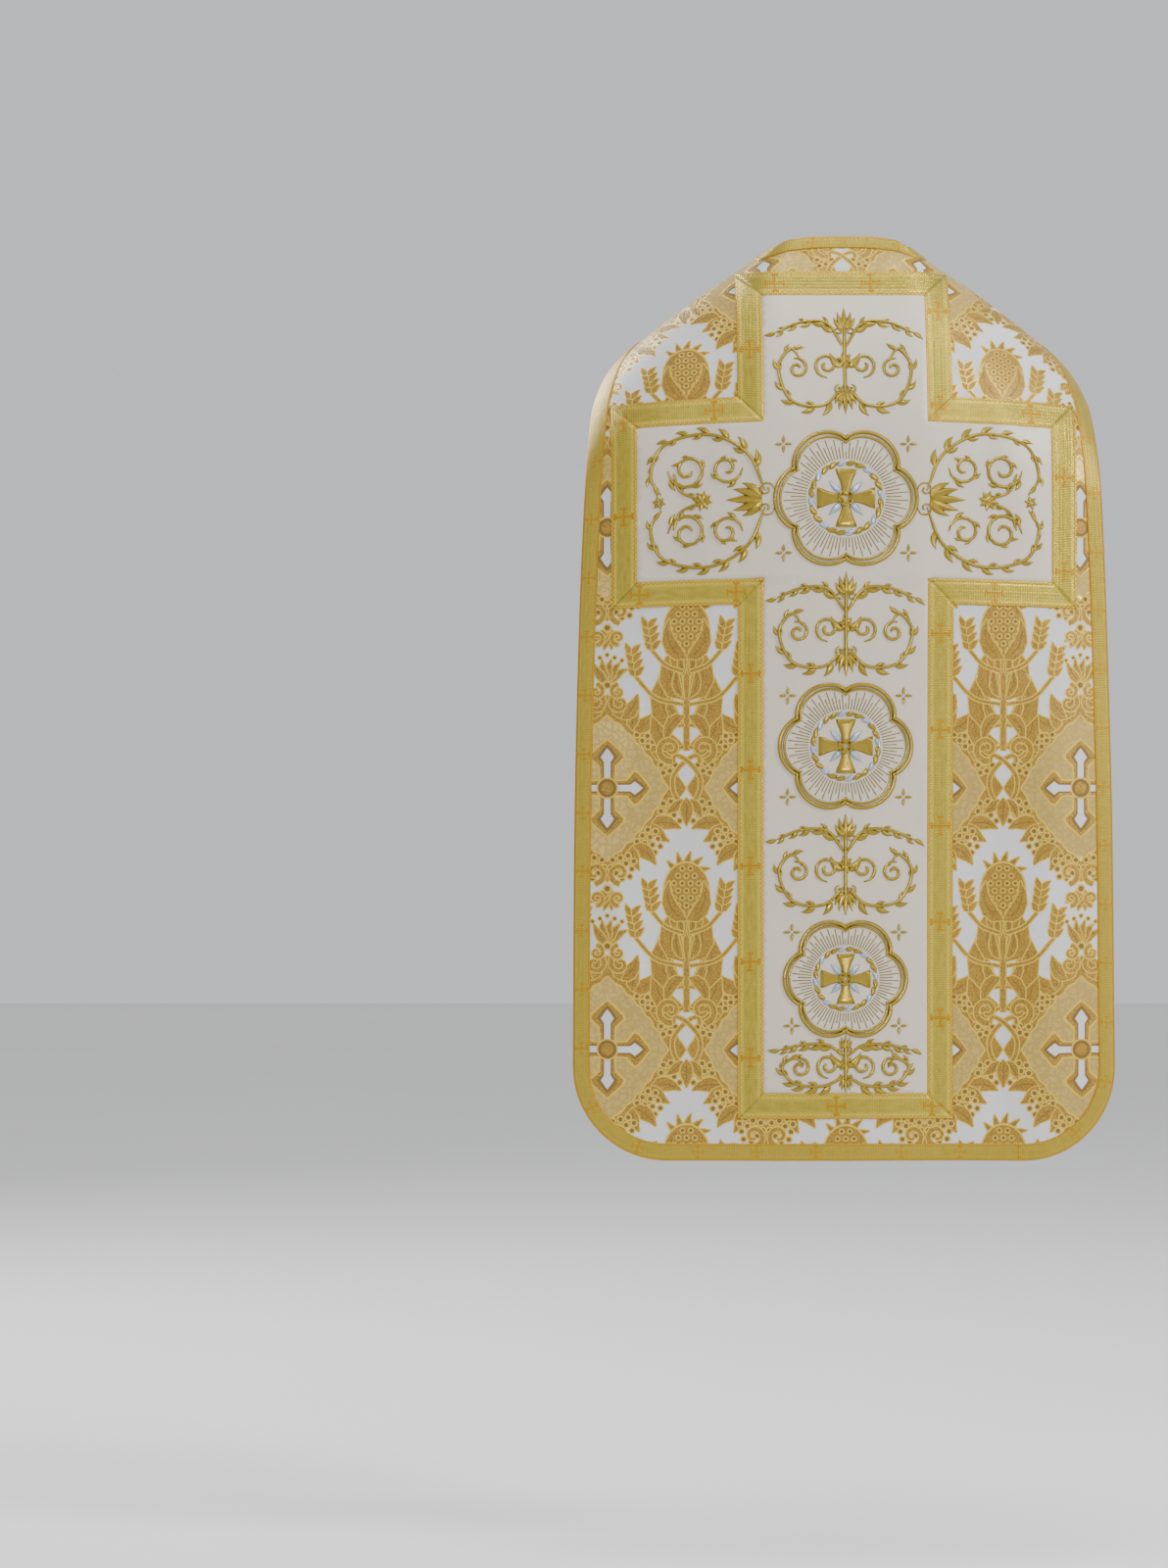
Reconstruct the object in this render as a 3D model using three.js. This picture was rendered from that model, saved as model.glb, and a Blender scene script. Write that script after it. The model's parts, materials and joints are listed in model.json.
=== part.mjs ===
// Roman chasuble, worn on a general figure. Millimetres, +Z up, the wearer faces -Y and stands at the origin's
// height with the neck-side ends of the shoulder line at z = 0.
//
// The cloth is one grid of rows and columns. Rows run across the garment, from the back hem up the back, over
// the shoulder crest and down the front to the front hem. Columns run from the middle out to the side edge.
// Each cut piece is a set of grid cells between two heights over the cloth's face, so that a trim lies on the
// facets of the panel below it. Neighbouring pieces and layers lie 0.3 mm apart.

import * as THREE from 'three';

// Layers, as heights over the face of the brocade.
const GAP = 0.3;
const PANEL = 2.0;
const LINING = 1.0;
const TRIM = 1.0;

// Widths of the ribbons.
const BAND = 20;
const GALLOON = 31.5;

// Lengths below the neck-side end of the shoulder line.
const BACK_HEM = -1125;
const FRONT_HEM = -1015;
const CHEST_SEAM = -232;
const NECK_FOOT = -185;

// Half widths.
const BACK_HALF = 331;
const FRONT_HALF = 288;
const CROSS_HALF = 99.5;
const ARM_HALF = 253;
const COLUMN_HALF = 91;
const NECK_HALF = 88;
const NECK_FOOT_HALF = 50;

// Rounded corners of the hems.
const BACK_CORNER = 115;
const FRONT_CORNER = 120;

// The grid: half columns 0 to 10. The side band lies between the last two.
const HALF = 10;
const NECK = 3;
const NECK_BAND = 4;

// Smooth line through a short table of [where, value] pairs, held flat past its ends.
function line(table) {
  const slope = (k) => {
    const a = table[Math.max(k - 1, 0)];
    const b = table[Math.min(k + 1, table.length - 1)];
    return (b[1] - a[1]) / (b[0] - a[0]);
  };
  return (where) => {
    const last = table.length - 1;
    if (where <= table[0][0]) return table[0][1];
    if (where >= table[last][0]) return table[last][1];
    let k = 0;
    while (table[k + 1][0] < where) k += 1;
    const [x0, y0] = table[k];
    const [x1, y1] = table[k + 1];
    const run = x1 - x0;
    const t = (where - x0) / run;
    return (
      y0 * (1 + 2 * t) * (1 - t) ** 2 +
      slope(k) * run * t * (1 - t) ** 2 +
      y1 * t * t * (3 - 2 * t) -
      slope(k + 1) * run * t * t * (1 - t)
    );
  };
}

// The shoulder crest by distance from the middle. Inside the neck it runs on up the neck.
const crestHeight = line([
  [0, 58], [30, 50], [60, 27], [85, 0], [115, -22], [175, -62], [234, -105], [282, -145], [330, -198],
]);
const crestDepth = line([
  [0, -45], [30, -38], [60, -8], [85, 8], [115, 8], [175, 0], [234, -15], [282, -32], [330, -45],
]);

// How far below the crest the cloth turns upright, on each side.
const backTurn = line([[0, 300], [85, 270], [175, 215], [282, 150], [330, 130]]);
const frontTurn = line([[0, 190], [85, 175], [175, 140], [282, 105], [330, 95]]);

// The hanging cloth: its distance from the shoulder line along the middle, by height, how far its sides come
// round the figure, and how far a level line sags at the sides.
const backMiddle = line([[BACK_HEM, 138], [-850, 134], [-600, 138], [-400, 146], [-230, 146], [0, 142]]);
const frontMiddle = line([[FRONT_HEM, -122], [-700, -125], [-400, -131], [-250, -131], [0, -124]]);
const backRound = line([[BACK_HEM, 110], [-700, 140], [-400, 190], [0, 200]]);
const frontRound = line([[FRONT_HEM, 110], [-650, 130], [-400, 190], [0, 200]]);
const ROUND_REACH = 420;
const sag = line([[BACK_HEM, 2], [-450, 5], [-200, 8], [0, 0]]);

// Below the nape the cloth stands off the neck in a hollow line of its own, as wide as the neck, which fades out
// at the crest of the shoulders.
const napeLine = line([
  [-420, 146], [-300, 144], [-230, 138], [-197, 132], [-155, 121], [-110, 104], [-65, 81], [-42, 69], [-7, 53],
  [8, 48], [20, 46],
]);
const NAPE_IN = 45;
const NAPE_OUT = 125;
const NAPE_FADE = 30;

// Soft flutes of the hanging cloth, deeper toward the hem.
function flute(front, x, z) {
  const hang = THREE.MathUtils.smoothstep(-z, 380, 1100);
  return front
    ? hang * (4 * Math.cos(x / 46 + 0.5) - 3 * Math.cos(x / 83))
    : hang * (4.5 * Math.cos(x / 52 - 0.4) - 3.5 * Math.cos(x / 95 + 0.3));
}

// The shoulder cap's outline, as the share of its depth that is reached at a share of its turn, and its length
// as a table over the same shares.
const ROOF = 1.7;
const capOut = (share) => (share < 1 ? (1 - (1 - share) ** ROOF) ** (1 / ROOF) : 1);
const CAP_STEPS = 200;
const CAP_ASPECT = 0.6;
const capLength = [0];
for (let k = 0; k < CAP_STEPS; k += 1) {
  const out = capOut((k + 1) / CAP_STEPS) - capOut(k / CAP_STEPS);
  capLength.push(capLength[k] + Math.hypot(1 / CAP_STEPS, CAP_ASPECT * out));
}

// Distance along the cap from the crest to a drop below it, and back again.
function capReach(turn, drop) {
  const share = Math.max(drop, 0) / turn;
  if (share >= 1) return turn * (capLength[CAP_STEPS] + share - 1);
  const k = Math.floor(share * CAP_STEPS);
  return turn * THREE.MathUtils.lerp(capLength[k], capLength[k + 1], share * CAP_STEPS - k);
}
function capDrop(turn, reach) {
  const length = reach / turn;
  if (length >= capLength[CAP_STEPS]) return turn * (1 + length - capLength[CAP_STEPS]);
  let k = 0;
  while (capLength[k + 1] < length) k += 1;
  return (turn * (k + (length - capLength[k]) / (capLength[k + 1] - capLength[k]))) / CAP_STEPS;
}

function onCloth(front, x, z) {
  const side = Math.abs(x);
  const turn = (front ? frontTurn : backTurn)(side);
  const drop = Math.max(crestHeight(side) - z, 0);
  const round = 1 - Math.sqrt(1 - (side / ROUND_REACH) ** 2);
  const hanging = front
    ? frontMiddle(z) + frontRound(z) * round
    : backMiddle(z) - backRound(z) * round;
  const near = crestDepth(side);
  const cap = near + (hanging - near) * capOut(drop / turn);
  const fade = THREE.MathUtils.smoothstep(capReach(turn, drop), 0, NAPE_FADE);
  const nape = front ? 0 : fade * (1 - THREE.MathUtils.smoothstep(side, NAPE_IN, NAPE_OUT));
  return new THREE.Vector3(x, cap + nape * (napeLine(z) - cap) * (z > -420 ? 1 : 0) + flute(front, x, z), z);
}

// Side edge of the back, from the corner up to the crest, then of the front down to its corner.
const backSide = line([[-1010, BACK_HALF], [-700, 329], [-450, 323], [-290, 316], [-225, 311], [-197.5, 308]]);
const crestSide = [308, 304, 299, 290, 281, 277.5, 274.5, 271.5, 269];
const strapSide = [269, 264, 255, 239, 228, 221, 216, 211, 209, 207, 205.5];
const frontSide = line([
  [-860, FRONT_HALF], [-700, FRONT_HALF], [-640, 284], [-588, 274], [-520, 252], [-453, 228], [-385, 210],
  [-317, 204], [-249.5, 205.5],
]);

// A point on a rounded hem corner, at an angle below the level line through its centre.
function corner(half, hem, radius, inset, degrees) {
  const a = THREE.MathUtils.degToRad(degrees);
  return [half - radius + (radius - inset) * Math.cos(a), hem + radius - (radius - inset) * Math.sin(a)];
}

// Each row is a list of [x, z] for half columns 0 to 10, with its side of the garment.
const rows = [];

function levelRow(front, z, xs, lift = 0) {
  const from = xs[NECK_BAND];
  const points = xs.map((x) => {
    const up = x > from ? lift * ((x - from) / (xs[HALF - 1] - from)) ** 2 : 0;
    return [x, z + up - sag(z) * (x / 284) ** 2];
  });
  rows.push({ front, points });
}

// The back hem, its band, and the two edges of the galloon at the foot of the cross.
const foot = BACK_HEM + 50;
const backColumns = (edge) => [
  0, CROSS_HALF / 3, (CROSS_HALF * 2) / 3, CROSS_HALF, CROSS_HALF + GALLOON, 172, 212,
  ARM_HALF, ARM_HALF + GALLOON, edge - BAND, edge,
];
const backCorner = (inset, degrees) => corner(BACK_HALF, BACK_HEM, BACK_CORNER, inset, degrees);

function cornerRow(front, z, inner, turned) {
  rows.push({ front, points: [...inner.map((x) => [x, z]), ...turned] });
}

cornerRow(false, BACK_HEM, backColumns(BACK_HALF).slice(0, 7), [
  backCorner(0, 71), backCorner(0, 60), backCorner(0, 52), backCorner(0, 45),
]);
cornerRow(false, BACK_HEM + BAND, backColumns(BACK_HALF).slice(0, 7), [
  backCorner(BAND, 68), backCorner(BAND, 57), backCorner(BAND, 45), backCorner(0, 35),
]);
for (const [z, lift, x, bandAngle, edgeAngle] of [[foot, 20.4, 278, 28, 24], [foot + GALLOON, 13.7, 281, 12, 12]]) {
  const columns = backColumns(BACK_HALF);
  columns[8] = x;
  levelRow(false, z, columns, lift);
  rows.at(-1).points[9] = backCorner(BAND, bandAngle);
  rows.at(-1).points[10] = backCorner(0, edgeAngle);
}

// Up the back: the hanging length, the arms of the cross, and the part over the arms.
const ARM_FOOT = -449;
const ARM_HEAD = -197.5;
for (let k = 1; k <= 8; k += 1) {
  const z = THREE.MathUtils.lerp(foot + GALLOON, ARM_FOOT, k / 9);
  levelRow(false, z, backColumns(backSide(z)));
}
const armFootRow = rows.length;
for (const z of [ARM_FOOT, ARM_FOOT + GALLOON, -352, -288, ARM_HEAD - 27.5, ARM_HEAD]) {
  levelRow(false, z, backColumns(backSide(z)));
}
const armHeadRow = rows.length - 1;

// From the arms of the cross to the crest: inner columns by height, outer ones by their share of the cap.
const crestColumns = [0, 28, 56, NECK_HALF, NECK_HALF + BAND, 142, 172, 202, 228, 269 - BAND, 269];
const capRows = [
  { share: 0.22, inner: [-155, -155, -155, -155, -155] },
  { share: 0.43, inner: [-110, -110, -110, -110, -110] },
  { share: 0.69, inner: [-65, -65, -65, -65, -65] },
  { share: 0.86, inner: [-42, -42, -42, -42, -42] },
  { share: 0.915, inner: [-7, -7.5, -10, -16, -23], xs: [0, 28, 56, 84, 104] },
  { share: 0.953, inner: [8, 7.5, 5, -3, -17.5], xs: [0, 27, 55, 82, 106] },
  { share: 0.98, inner: [14, 12, 8, -1.8, -17.5], xs: [0, 28, 56, 86, 107.3] },
];
const crossHeadRow = armHeadRow + 4;
const armHeadPoints = rows[armHeadRow].points;
capRows.forEach(({ share, inner, xs }, k) => {
  const points = armHeadPoints.map(([x0, z0], i) => {
    if (i <= NECK_BAND) return [xs ? xs[i] : x0, inner[i]];
    const edge = crestSide[k + 1];
    const x = i === 10 ? edge : i === 9 ? edge - BAND : THREE.MathUtils.lerp(x0, crestColumns[i], share);
    const reach = capReach(backTurn(x0), crestHeight(x0) - z0) * (1 - share);
    return [x, crestHeight(x) - capDrop(backTurn(x), reach)];
  });
  rows.push({ front: false, points });
});
const napeRow = rows.length - 2;
rows.push({ front: true, points: crestColumns.map((x) => [x, crestHeight(x)]) });
const crestRow = rows.length - 1;

// Down the front: the straps beside the neck, the bridge below it, the chest seam and the front length.
const neckSide = [NECK_HALF, 87.8, 86.5, 82, 73, 61.5, NECK_FOOT_HALF];
const seamShares = [0.181, 0.4526, 0.634, 0.819];
const crestShares = [0.246, 0.464, 0.681, 0.87];
function frontColumns(edge, neck, share) {
  const outer = neck + BAND;
  const inner = edge - BAND;
  const middle = crestShares.map((s, k) => THREE.MathUtils.lerp(s, seamShares[k], share));
  return [
    0, neck / 3, (neck * 2) / 3, neck, outer, ...middle.map((s) => THREE.MathUtils.lerp(outer, inner, s)),
    inner, edge,
  ];
}
const strapShares = [0, 0.05, 0.16, 0.34, 0.55, 0.78, 1];
for (let k = 1; k <= 6; k += 1) {
  const share = strapShares[k];
  const xs = frontColumns(strapSide[k], neckSide[k], share);
  const ends = frontColumns(strapSide[6], NECK_FOOT_HALF, 1);
  const points = xs.map((x, i) => {
    const reach = capReach(frontTurn(ends[i]), crestHeight(ends[i]) - NECK_FOOT) * share;
    return [x, crestHeight(x) - capDrop(frontTurn(x), reach)];
  });
  rows.push({ front: true, points });
}
const neckFootRow = rows.length - 1;
rows[neckFootRow].points = rows[neckFootRow].points.map(([x]) => [x, NECK_FOOT - 3 * (x / 200) ** 2]);
const chestRows = [NECK_FOOT - BAND, CHEST_SEAM + 17, CHEST_SEAM, CHEST_SEAM - 17.5];
chestRows.forEach((z, k) => levelRow(true, z, frontColumns(strapSide[7 + k], NECK_FOOT_HALF, 1)));
const chestHeadRow = neckFootRow + 2;
const seamRow = neckFootRow + 3;
const chestFootRow = neckFootRow + 4;

// Below the chest the columns beside the neck band carry on in the orphrey column and its galloons.
function lengthColumns(edge) {
  const outer = COLUMN_HALF + GALLOON;
  const inner = edge - BAND;
  return [
    0, NECK_FOOT_HALF / 3, (NECK_FOOT_HALF * 2) / 3, NECK_FOOT_HALF, NECK_FOOT_HALF + BAND, COLUMN_HALF, outer,
    THREE.MathUtils.lerp(outer, inner, 1 / 3), THREE.MathUtils.lerp(outer, inner, 2 / 3), inner, edge,
  ];
}
const frontCorner = (inset, degrees) => corner(FRONT_HALF, FRONT_HEM, FRONT_CORNER, inset, degrees);

const FRONT_STEPS = 11;
for (let k = 1; k < FRONT_STEPS; k += 1) {
  const z = THREE.MathUtils.lerp(CHEST_SEAM - 17.5, FRONT_HEM + BAND, k / FRONT_STEPS);
  const last = k === FRONT_STEPS - 1;
  levelRow(true, z, lengthColumns(frontSide(z)), last ? 12 : 0);
  if (last) {
    rows.at(-1).points[9] = frontCorner(BAND, 11.5);
    rows.at(-1).points[10] = frontCorner(0, 14.5);
  }
}
cornerRow(true, FRONT_HEM + BAND, lengthColumns(FRONT_HALF).slice(0, 7), [
  frontCorner(BAND, 77), frontCorner(BAND, 60), frontCorner(BAND, 45), frontCorner(0, 30),
]);
cornerRow(true, FRONT_HEM, lengthColumns(FRONT_HALF).slice(0, 7), [
  frontCorner(0, 78), frontCorner(0, 63), frontCorner(0, 53), frontCorner(0, 45),
]);
const hemBandRow = rows.length - 2;
const lastRow = rows.length - 1;

// The grid's points on the face of the brocade, columns -10 to 10.
const columns = Array.from({ length: 2 * HALF + 1 }, (_, k) => k - HALF);
const face = rows.map(({ front, points }) =>
  columns.map((i) => {
    const [x, z] = points[Math.abs(i)];
    const at = onCloth(front, x, z);
    if (i < 0) at.x = -x;
    return at;
  }),
);
const point = (i, j) => face[j][i + HALF];

// Cells are named by their corner nearest column -10 and row 0. The neck is the one opening.
const side = (i) => (i < 0 ? -i - 1 : i);
const isNeck = (i, j) => side(i) < NECK && j >= napeRow && j < neckFootRow;
const isCell = (i, j) => i >= -HALF && i < HALF && j >= 0 && j < lastRow && !isNeck(i, j);
const triangles = (i, j) => {
  const [a, b, c, d] = [[i, j], [i, j + 1], [i + 1, j + 1], [i + 1, j]];
  return i >= 0 ? [[a, b, c], [a, c, d]] : [[a, b, d], [b, c, d]];
};

// Outward normals, averaged over the cells around each point.
const normals = rows.map(() => columns.map(() => new THREE.Vector3()));
for (let j = 0; j < lastRow; j += 1) {
  for (let i = -HALF; i < HALF; i += 1) {
    if (!isCell(i, j)) continue;
    for (const corners of triangles(i, j)) {
      const [a, b, c] = corners.map(([u, v]) => point(u, v));
      const across = b.clone().sub(a).cross(c.clone().sub(a)).normalize();
      const turns = [[a, b, c], [b, c, a], [c, a, b]].map(([p, q, r]) => q.clone().sub(p).angleTo(r.clone().sub(p)));
      corners.forEach(([u, v], k) => normals[v][u + HALF].addScaledVector(across, turns[k]));
    }
  }
}
normals.flat().forEach((n) => n.normalize());
const normal = (i, j) => normals[j][i + HALF];

// One closed solid over the chosen cells, between two heights over the face. Its border is drawn in by half a
// gap, so that two pieces that share a border lie one gap apart.
function clothSolid(chosen, low, high) {
  const has = (i, j) => isCell(i, j) && chosen(i, j);
  const key = (i, j) => j * 100 + i + HALF;
  const borders = [];
  const cells = [];
  for (let j = 0; j < lastRow; j += 1) {
    for (let i = -HALF; i < HALF; i += 1) {
      if (!has(i, j)) continue;
      cells.push([i, j]);
      if (!has(i - 1, j)) borders.push([[i, j], [i, j + 1], [i, j]]);
      if (!has(i, j + 1)) borders.push([[i, j + 1], [i + 1, j + 1], [i, j]]);
      if (!has(i + 1, j)) borders.push([[i + 1, j + 1], [i + 1, j], [i, j]]);
      if (!has(i, j - 1)) borders.push([[i + 1, j], [i, j], [i, j]]);
    }
  }

  // Drawing in: along the surface, square to each border edge.
  const inward = new Map();
  for (const [from, to] of borders) {
    const along = point(...to).clone().sub(point(...from)).normalize();
    for (const [u, v] of [from, to]) {
      const square = along.clone().cross(normal(u, v)).normalize().negate();
      const at = inward.get(key(u, v)) ?? [];
      at.push(square);
      inward.set(key(u, v), at);
    }
  }
  const shift = (u, v) => {
    const at = inward.get(key(u, v));
    if (!at) return new THREE.Vector3();
    const sum = at.reduce((total, n) => total.add(n), new THREE.Vector3());
    return sum.multiplyScalar((GAP / 2) * (at.length / Math.max(sum.lengthSq(), 0.2)));
  };

  const positions = [];
  const numbers = new Map();
  const put = (u, v, height) => {
    const name = `${u},${v},${height}`;
    if (!numbers.has(name)) {
      const at = point(u, v).clone().add(shift(u, v)).addScaledVector(normal(u, v), height);
      numbers.set(name, positions.length / 3);
      positions.push(at.x, at.y, at.z);
    }
    return numbers.get(name);
  };
  const index = [];
  for (const [i, j] of cells) {
    for (const corners of triangles(i, j)) {
      const [a, b, c] = corners;
      index.push(put(...a, high), put(...b, high), put(...c, high));
      index.push(put(...a, low), put(...c, low), put(...b, low));
    }
  }
  for (const [from, to] of borders) {
    const [a, b] = [put(...from, low), put(...to, low)];
    const [c, d] = [put(...to, high), put(...from, high)];
    index.push(a, b, c, a, c, d);
  }
  const geometry = new THREE.BufferGeometry();
  geometry.setAttribute('position', new THREE.Float32BufferAttribute(positions, 3));
  geometry.setIndex(index);
  geometry.computeVertexNormals();
  return geometry;
}

const brocade = new THREE.MeshStandardMaterial({ color: 0xd9c9a0, roughness: 0.6, metalness: 0.1 });
const satin = new THREE.MeshStandardMaterial({ color: 0xe4dfd0, roughness: 0.5, metalness: 0 });
const lining = new THREE.MeshStandardMaterial({ color: 0xc9cac4, roughness: 0.55, metalness: 0 });
const ribbon = new THREE.MeshStandardMaterial({ color: 0xb8973a, roughness: 0.4, metalness: 0.5 });

const chasuble = new THREE.Group();
function add(name, material, layer, chosen) {
  const [low, high] = layer;
  const mesh = new THREE.Mesh(clothSolid(chosen, low, high), material);
  mesh.name = name;
  chasuble.add(mesh);
}

const PANEL_LAYER = [-PANEL, 0];
const LINING_LAYER = [-PANEL - GAP - LINING, -PANEL - GAP];
const TRIM_LAYER = [GAP, GAP + TRIM];

// The back carries on over the shoulders and round the neck to the chest seam, where the front is sewn on.
const inBack = (i, j) => j < seamRow;
add('back_panel', brocade, PANEL_LAYER, inBack);
add('front_panel', brocade, PANEL_LAYER, (i, j) => !inBack(i, j));
add('back_lining', lining, LINING_LAYER, inBack);
add('front_lining', lining, LINING_LAYER, (i, j) => !inBack(i, j));

// The cross of the back: its satin and the galloon that frames it.
const between = (j, low, high) => j >= low && j < high;
const crossOutline = (i, j) =>
  (side(i) < 4 && between(j, 2, crossHeadRow)) || (side(i) < 8 && between(j, armFootRow, armHeadRow));
const crossSatin = (i, j) =>
  (side(i) < 3 && between(j, 3, crossHeadRow - 1)) ||
  (side(i) < 7 && between(j, armFootRow + 1, armHeadRow - 1));
add('cross_orphrey', satin, TRIM_LAYER, crossSatin);
add('cross_galloon', ribbon, TRIM_LAYER, (i, j) => crossOutline(i, j) && !crossSatin(i, j));

// The front: the orphrey column with a galloon on each side, and the galloon across the chest seam.
const inLength = (j) => between(j, chestFootRow, hemBandRow);
add('column_orphrey', satin, TRIM_LAYER, (i, j) => side(i) < 5 && inLength(j));
add('column_galloon_left', ribbon, TRIM_LAYER, (i, j) => i === 5 && inLength(j));
add('column_galloon_right', ribbon, TRIM_LAYER, (i, j) => i === -6 && inLength(j));
add('chest_galloon', ribbon, TRIM_LAYER, (i, j) => side(i) < 9 && between(j, chestHeadRow, chestFootRow));

// The ribbons that bind the neck and the whole outer edge.
add('neck_band', ribbon, TRIM_LAYER, (i, j) => side(i) < NECK_BAND && between(j, napeRow - 1, neckFootRow + 1));
add('edge_band', ribbon, TRIM_LAYER, (i, j) => side(i) === 9 || j === 0 || j === lastRow - 1);

export default chasuble;
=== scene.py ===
"""A roman chasuble, worn on a general figure and seen from behind.

The cloth is one smooth drape. Every panel, ribbon, thread and woven figure is drawn flat, as a maker would
cut or stitch it, and laid on that drape at its own height over the face of the brocade. Lengths inside the
classes are in millimetres; meshes are made in metres.
"""

from __future__ import annotations

import json
import logging
import math
from dataclasses import dataclass, field
from enum import Enum, IntEnum
from typing import Callable, Sequence

import bpy
import numpy as np
from mathutils import Vector
from mathutils.geometry import delaunay_2d_cdt
from mathutils.kdtree import KDTree
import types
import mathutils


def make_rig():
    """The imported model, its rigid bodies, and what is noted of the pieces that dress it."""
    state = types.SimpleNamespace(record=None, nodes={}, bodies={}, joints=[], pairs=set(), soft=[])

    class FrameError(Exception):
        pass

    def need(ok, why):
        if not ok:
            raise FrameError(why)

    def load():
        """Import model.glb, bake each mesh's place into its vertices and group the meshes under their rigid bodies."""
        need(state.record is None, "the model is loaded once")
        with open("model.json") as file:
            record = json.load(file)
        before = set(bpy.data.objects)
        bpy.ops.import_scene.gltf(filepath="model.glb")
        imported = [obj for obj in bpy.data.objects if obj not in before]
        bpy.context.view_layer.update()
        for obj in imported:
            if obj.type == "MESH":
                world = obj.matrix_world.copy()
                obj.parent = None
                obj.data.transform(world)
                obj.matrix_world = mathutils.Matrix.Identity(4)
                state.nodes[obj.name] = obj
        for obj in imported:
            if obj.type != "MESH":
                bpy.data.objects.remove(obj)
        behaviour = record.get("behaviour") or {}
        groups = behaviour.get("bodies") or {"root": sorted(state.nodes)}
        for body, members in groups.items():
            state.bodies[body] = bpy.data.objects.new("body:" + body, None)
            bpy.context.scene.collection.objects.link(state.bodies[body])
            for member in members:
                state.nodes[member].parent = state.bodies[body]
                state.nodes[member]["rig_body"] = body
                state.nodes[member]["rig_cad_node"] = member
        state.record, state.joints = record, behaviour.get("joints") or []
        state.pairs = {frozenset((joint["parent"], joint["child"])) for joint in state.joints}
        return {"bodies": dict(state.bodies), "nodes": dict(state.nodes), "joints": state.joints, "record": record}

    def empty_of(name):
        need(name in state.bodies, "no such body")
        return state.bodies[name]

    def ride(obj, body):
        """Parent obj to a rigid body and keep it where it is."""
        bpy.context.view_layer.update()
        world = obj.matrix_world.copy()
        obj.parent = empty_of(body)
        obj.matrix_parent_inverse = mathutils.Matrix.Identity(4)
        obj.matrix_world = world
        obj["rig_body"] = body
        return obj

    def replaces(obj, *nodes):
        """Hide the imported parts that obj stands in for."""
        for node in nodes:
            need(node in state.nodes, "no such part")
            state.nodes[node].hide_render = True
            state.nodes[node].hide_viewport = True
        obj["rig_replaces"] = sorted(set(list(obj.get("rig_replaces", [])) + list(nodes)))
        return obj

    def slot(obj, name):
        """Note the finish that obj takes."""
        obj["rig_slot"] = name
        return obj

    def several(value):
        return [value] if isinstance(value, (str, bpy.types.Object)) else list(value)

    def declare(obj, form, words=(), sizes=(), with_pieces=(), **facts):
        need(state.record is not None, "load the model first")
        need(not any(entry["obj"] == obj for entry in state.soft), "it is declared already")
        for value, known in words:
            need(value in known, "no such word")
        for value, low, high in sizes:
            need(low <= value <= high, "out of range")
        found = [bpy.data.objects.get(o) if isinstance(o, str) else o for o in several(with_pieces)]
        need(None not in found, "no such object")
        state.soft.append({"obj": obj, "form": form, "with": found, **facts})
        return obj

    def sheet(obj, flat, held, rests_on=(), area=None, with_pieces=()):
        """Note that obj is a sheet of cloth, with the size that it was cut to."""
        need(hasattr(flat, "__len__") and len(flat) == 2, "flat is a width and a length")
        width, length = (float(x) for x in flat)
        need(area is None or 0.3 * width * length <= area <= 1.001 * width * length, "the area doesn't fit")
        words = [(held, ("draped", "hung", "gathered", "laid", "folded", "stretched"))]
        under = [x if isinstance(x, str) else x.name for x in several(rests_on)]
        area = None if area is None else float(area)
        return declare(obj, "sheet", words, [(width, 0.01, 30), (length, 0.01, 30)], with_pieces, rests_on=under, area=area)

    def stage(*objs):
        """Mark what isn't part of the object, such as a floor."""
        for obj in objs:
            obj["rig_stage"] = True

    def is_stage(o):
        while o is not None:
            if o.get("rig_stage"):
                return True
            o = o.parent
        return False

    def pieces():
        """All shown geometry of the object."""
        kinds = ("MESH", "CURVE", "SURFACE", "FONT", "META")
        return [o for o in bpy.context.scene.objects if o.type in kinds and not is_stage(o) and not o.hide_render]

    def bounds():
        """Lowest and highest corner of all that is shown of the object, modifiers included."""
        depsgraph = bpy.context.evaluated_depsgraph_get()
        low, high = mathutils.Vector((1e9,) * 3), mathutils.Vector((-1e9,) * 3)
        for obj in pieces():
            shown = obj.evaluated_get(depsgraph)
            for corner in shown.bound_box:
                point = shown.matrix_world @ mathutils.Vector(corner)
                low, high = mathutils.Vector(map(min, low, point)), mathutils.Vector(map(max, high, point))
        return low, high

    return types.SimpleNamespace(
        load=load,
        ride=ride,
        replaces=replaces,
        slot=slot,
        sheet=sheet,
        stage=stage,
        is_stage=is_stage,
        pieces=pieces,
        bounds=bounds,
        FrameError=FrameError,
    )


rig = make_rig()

LOG = logging.getLogger("chasuble")
MM = 0.001
WELD = 64
TESTS_AT_ONCE = 3_000_000
SHOULDER_SLANT = 0.988
Array = np.ndarray
Pair = tuple[float, float]
Colour = tuple[float, float, float]
Material = bpy.types.Material
Piece = bpy.types.Object
Socket = bpy.types.NodeSocket
Sockets = dict[str, Socket]
Finishes = dict[str, Material]
Pieces = dict[str, Piece]


def smoothstep(value: Array, low: float, high: float) -> Array:
    """Returns 0 below low, 1 above high and a smooth rise between."""
    t = np.clip((np.asarray(value, float) - low) / (high - low), 0, 1)
    return t * t * (3 - 2 * t)


def running_length(points: Array) -> Array:
    """Returns the length along a line up to each of its points, flat or in space."""
    steps = np.diff(points, axis=0)
    lengths = np.hypot(*steps.T) if steps.shape[1] == 2 else np.linalg.norm(steps, axis=1)
    return np.concatenate([[0], np.cumsum(lengths)])


def directions(path: Array) -> tuple[Array, Array]:
    """Returns the directions along and across a flat path, at each of its points."""
    along = np.gradient(path, axis=0)
    along /= np.maximum(np.linalg.norm(along, axis=1, keepdims=True), 1e-9)
    return along, np.stack([-along[:, 1], along[:, 0]], 1)


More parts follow.
